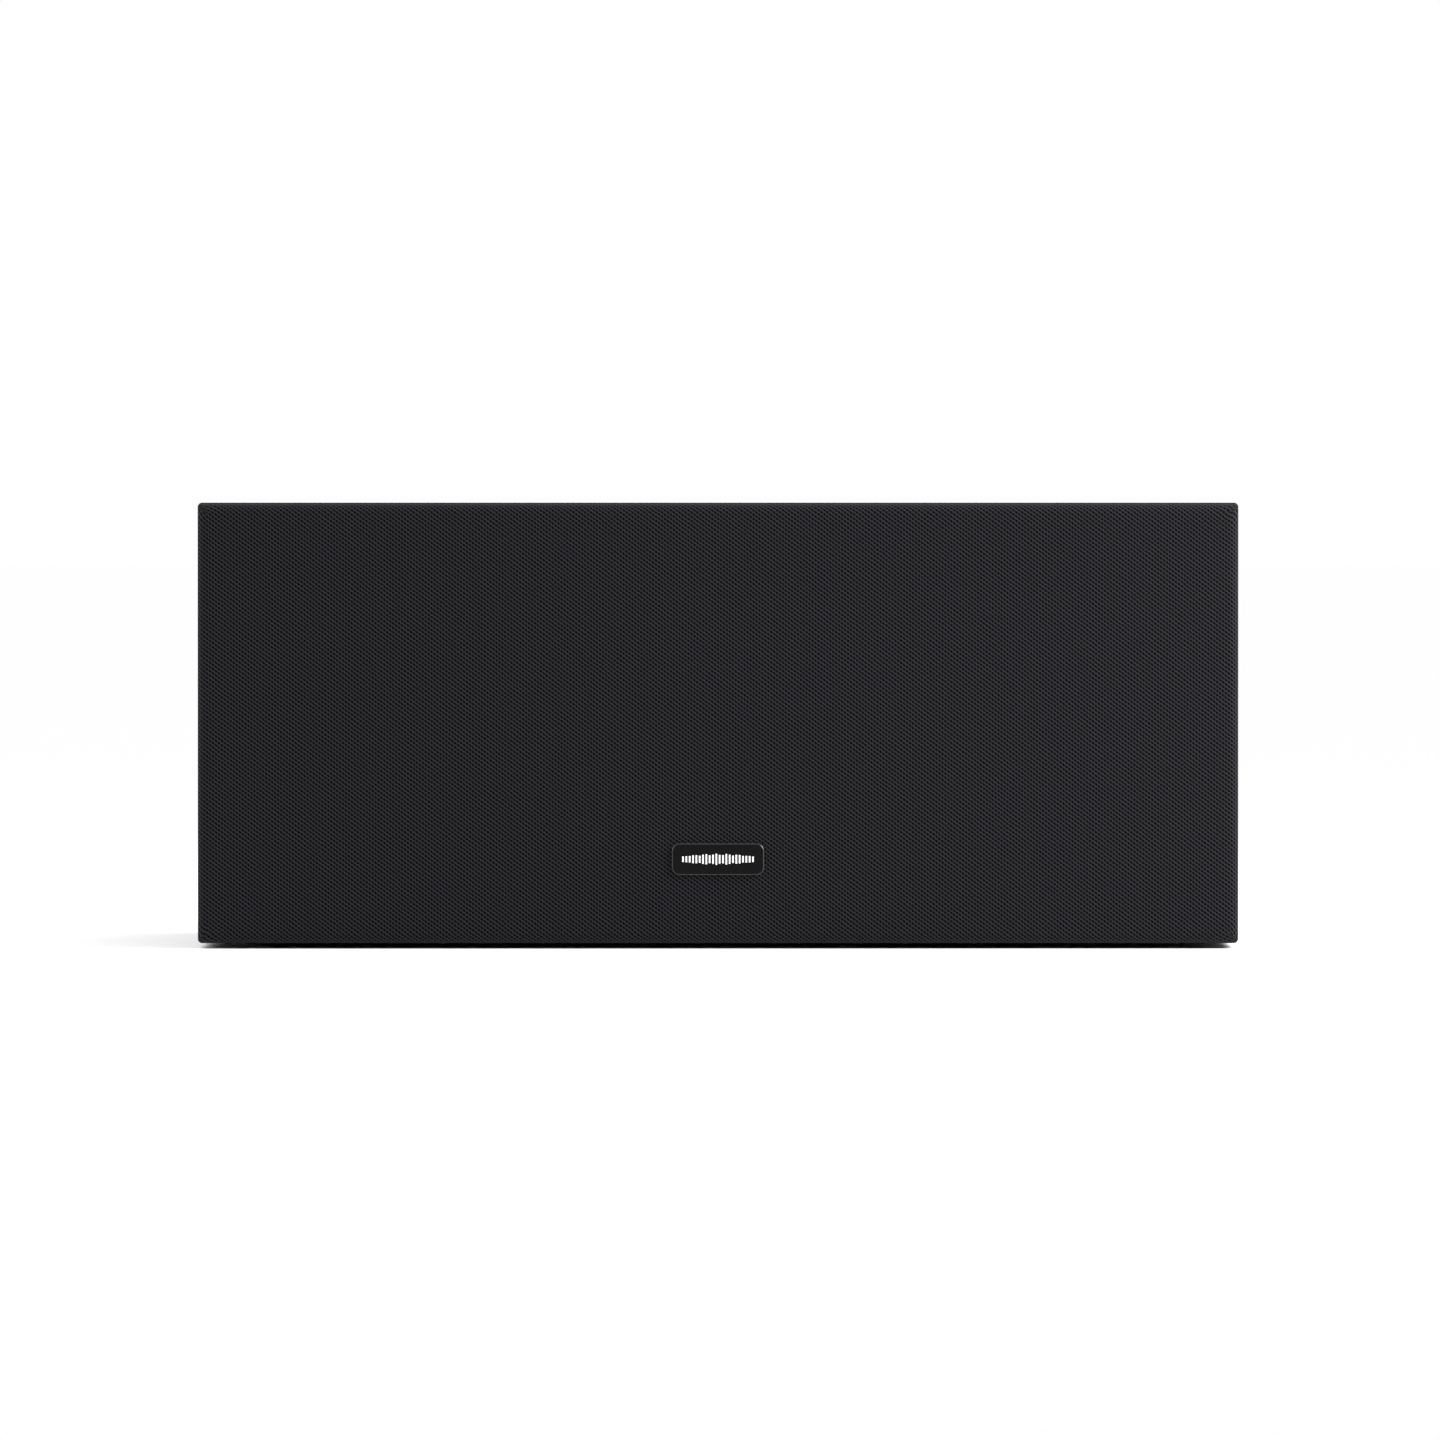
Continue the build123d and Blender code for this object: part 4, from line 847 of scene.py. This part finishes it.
yarn = add(tree, "ShaderNodeMixRGB", {"Fac": fibre, "Color1": linear("#121214"),
                                      "Color2": linear("#333338")}).outputs["Color"]
yarn = add(tree, "ShaderNodeMixRGB", {"Fac": cloud, "Color1": yarn,
                                      "Color2": linear("#252528")}).outputs["Color"]
# Painted shade: the eyelets are mixed to nearly black, for the black baffle and the shade seen through the
# openings.
colour = add(tree, "ShaderNodeMixRGB", {"Fac": eyelet, "Color1": yarn,
                                        "Color2": linear("#030303")}).outputs["Color"]
loft = add(tree, "ShaderNodeMath", {0: fibre, 1: fibre_share}, operation="MULTIPLY").outputs[0]
loft = add(tree, "ShaderNodeMath", {0: loft, 1: eyelet}, operation="SUBTRACT").outputs[0]
bump = add(tree, "ShaderNodeBump", {"Height": loft, "Distance": knit_relief}).outputs["Normal"]
gloss = add(tree, "ShaderNodeMapRange", {"Value": fibre, "To Min": 0.95,
                                         "To Max": 0.75}).outputs["Result"]
tree.links.new(colour, shader.inputs["Base Color"])
tree.links.new(gloss, shader.inputs["Roughness"])
tree.links.new(bump, shader.inputs["Normal"])

cloth = piece("stretched_cloth", cloth_mesh, knit, "grille", ["grille_cloth"])
wall = cloth.modifiers.new("cloth thickness", "SOLIDIFY")
wall.thickness = cloth_wall
wall.offset = -1


# --- Badge ---
# A black acrylic plate with a deep gloss and a cut edge that shows as a thin bright line. A
# row of upright bars is printed on it in white, in place of any name, 0.06 mm thick.

badge_low, badge_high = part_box("badge_plate")
badge_z = (badge_low.z + badge_high.z) / 2
badge_corner, badge_bevel = 3.4 * MM, 0.4 * MM
badge_gloss = grained("gloss black acrylic", "#060606", "#090909", 0.16, 6.0, 0.002,
                      Specular_IOR_Level=0.08)
cut_bevel = grained("diamond-cut bevel", "#333336", "#4b4b4f", 0.3, 0.5, 0.004, Metallic=0.6)


def rounded_plate(low, high, corner, bevel, steps=10, crease=30):
    """A plate facing -Y with rounded corners and a bevel, whose bevel has the second finish."""
    built = bmesh.new()
    middle, half = (low + high) / 2, (high - low) / 2
    rings = []
    for inset, y in ((0, high.y), (0, low.y + bevel), (bevel, low.y)):
        reach = corner - inset
        ring = []
        for quarter, (right, up) in enumerate(((1, 1), (-1, 1), (-1, -1), (1, -1))):
            cx = middle.x + right * (half.x - corner)
            cz = middle.z + up * (half.z - corner)
            for i in range(steps + 1):
                angle = pi / 2 * (quarter + i / steps)
                ring.append(built.verts.new((cx + reach * cos(angle), y, cz + reach * sin(angle))))
        rings.append(ring)
    for number, (rear, front) in enumerate(zip(rings, rings[1:])):
        for i in range(len(rear)):
            after = (i + 1) % len(rear)
            face = built.faces.new((rear[i], rear[after], front[after], front[i]))
            face.material_index = number
    built.faces.new(rings[0])
    built.faces.new(reversed(rings[-1]))
    mesh = finished(built, "rounded plate")
    mesh.shade_smooth()
    mesh.set_sharp_from_angle(angle=radians(crease))
    return mesh


plate = rounded_plate(badge_low, badge_high, badge_corner, badge_bevel)
plate.materials.append(badge_gloss)
plate.materials.append(cut_bevel)
piece("bevelled_badge", plate, None, "grille", ["badge_plate"])


def bar_tree(beat_step=1.9, beat_share=0.3, lowest=0.5):
    """A node tree for a row of printed bars, tall in the middle, with its sizes as inputs.

    The height swells once over the row and beats from bar to bar, by this step in radians.
    """
    tree = bpy.data.node_groups.new("printed bars", "GeometryNodeTree")
    identifiers = {}
    for name, kind, value in (("Count", "Int", 21), ("Pitch", "Float", 0.0015),
                              ("Bar Width", "Float", 0.0006), ("Bar Height", "Float", 0.004),
                              ("Print", "Float", 0.0001)):
        socket = tree.interface.new_socket(name, in_out="INPUT", socket_type="NodeSocket" + kind)
        socket.default_value = value
        identifiers[name] = socket.identifier
    ink = tree.interface.new_socket("Ink", in_out="INPUT", socket_type="NodeSocketMaterial")
    identifiers["Ink"] = ink.identifier
    tree.interface.new_socket("Mesh", in_out="OUTPUT", socket_type="NodeSocketGeometry")
    given = add(tree, "NodeGroupInput").outputs
    step = add(tree, "ShaderNodeCombineXYZ", {"X": given["Pitch"]}).outputs[0]
    row = add(tree, "GeometryNodeMeshLine", {"Count": given["Count"], "Offset": step}).outputs[0]
    size = add(tree, "ShaderNodeCombineXYZ", {"X": given["Bar Width"], "Y": given["Print"],
                                              "Z": given["Bar Height"]}).outputs[0]
    bar = add(tree, "GeometryNodeMeshCube", {"Size": size}).outputs["Mesh"]
    index = add(tree, "GeometryNodeInputIndex").outputs[0]
    last = add(tree, "ShaderNodeMath", {0: given["Count"], 1: 1.0}, operation="SUBTRACT").outputs[0]
    share = add(tree, "ShaderNodeMath", {0: index, 1: last}, operation="DIVIDE").outputs[0]
    arch = add(tree, "ShaderNodeMath", {0: share, 1: pi}, operation="MULTIPLY").outputs[0]
    arch = add(tree, "ShaderNodeMath", {0: arch}, operation="SINE").outputs[0]
    beat = add(tree, "ShaderNodeMath", {0: index, 1: beat_step}, operation="MULTIPLY").outputs[0]
    beat = add(tree, "ShaderNodeMath", {0: beat}, operation="COSINE").outputs[0]
    beat = add(tree, "ShaderNodeMath", {0: beat, 1: beat_share, 2: 1 - beat_share},
               operation="MULTIPLY_ADD").outputs[0]
    tall = add(tree, "ShaderNodeMath", {0: arch, 1: beat}, operation="MULTIPLY").outputs[0]
    tall = add(tree, "ShaderNodeMath", {0: tall, 1: 1 - lowest, 2: lowest},
               operation="MULTIPLY_ADD").outputs[0]
    scale = add(tree, "ShaderNodeCombineXYZ", {"X": 1.0, "Y": 1.0, "Z": tall}).outputs[0]
    placed = add(tree, "GeometryNodeInstanceOnPoints", {"Points": row, "Instance": bar,
                                                        "Scale": scale}).outputs[0]
    whole = add(tree, "GeometryNodeRealizeInstances", {"Geometry": placed}).outputs[0]
    inked = add(tree, "GeometryNodeSetMaterial", {"Geometry": whole, "Material": given["Ink"]})
    add(tree, "NodeGroupOutput", {"Mesh": inked.outputs["Geometry"]})
    return tree, identifiers


white_ink = grained("screen-printed white ink", "#dcdcdd", "#efeff0", 0.45, 0.4, 0.004)
bar_count, bar_pitch, bar_width, bar_height = 22, 1.5 * MM, 0.75 * MM, 5.0 * MM
# The bars are centred on the plate's face, so half of their depth stands out of it.
bar_depth = 0.12 * MM
bars, bar_inputs = bar_tree()
printed = grown(bars, bar_inputs, Count=bar_count, Pitch=bar_pitch, Bar_Width=bar_width,
                Bar_Height=bar_height, Print=bar_depth, Ink=white_ink)
printed.transform(Matrix.Translation((-bar_pitch * (bar_count - 1) / 2, badge_low.y, badge_z)))
piece("badge_bars", printed, None, "grille")


# --- Studio ---
# A floor of matt white paper under an even white sky, with a strong soft lamp on the right and
# weak ones on the left and behind. The lens is long and just below the cabinet's top.

floor_half = 60.0
floor_corners = [(x * floor_half, y * floor_half, 0) for x, y in ((-1, -1), (1, -1), (1, 1), (-1, 1))]
floor_mesh = bpy.data.meshes.new("floor")
floor_mesh.from_pydata(floor_corners, [], [(0, 1, 2, 3)])
floor = bpy.data.objects.new("studio_floor", floor_mesh)
bpy.context.scene.collection.objects.link(floor)
paper = grained("white backdrop paper", "#fdfdfd", "#ffffff", 0.9, 8.0, 0.01)
floor_mesh.materials.append(paper)

world = bpy.data.worlds.new("white sky")
bpy.context.scene.world = world
world.use_nodes = True
sky = world.node_tree.nodes["Background"]
sky.inputs["Color"].default_value = (1.0, 1.0, 1.0, 1.0)
sky.inputs["Strength"].default_value = 1.0


def lamp(name, place, width, power):
    """A square soft box at a place, aimed at the cabinet, with its power in watts."""
    light = bpy.data.lights.new(name, "AREA")
    light.shape = "SQUARE"
    light.size = width
    light.energy = power
    made = bpy.data.objects.new(name, light)
    bpy.context.scene.collection.objects.link(made)
    made.location = place
    aim = Vector((0, 0, middle_z)) - Vector(place)
    made.rotation_euler = aim.to_track_quat("-Z", "Y").to_euler()


lamp("key_softbox", (0.82, -0.36, 0.6), 0.6, 15.0)
lamp("fill_softbox", (-1.1, -0.25, 0.6), 0.8, 5.0)
lamp("rear_softbox", (-0.8, 1.4, 1.2), 1.0, 5.0)

# The frame is this wide at the grille, whose middle sits a little left of its centre and a
# little below it.
bpy.context.scene.view_settings.view_transform = "Standard"
lens_distance, lens_height = 6.0, 0.19
frame_width, aim_right, aim_up = 648.5 * MM, 0.9 * MM, 1.6 * MM
aim = Vector((aim_right, cloth_front, middle_z + aim_up))
camera = bpy.data.cameras.new("camera")
camera.sensor_width = 36.0
camera.lens = lens_distance * camera.sensor_width / frame_width
camera.clip_start, camera.clip_end = 1.0, 200.0
viewer = bpy.data.objects.new("camera", camera)
bpy.context.scene.collection.objects.link(viewer)
viewer.location = Vector((aim.x, cloth_front - lens_distance, lens_height))
viewer.rotation_euler = (aim - viewer.location).to_track_quat("-Z", "Y").to_euler()
bpy.context.scene.camera = viewer
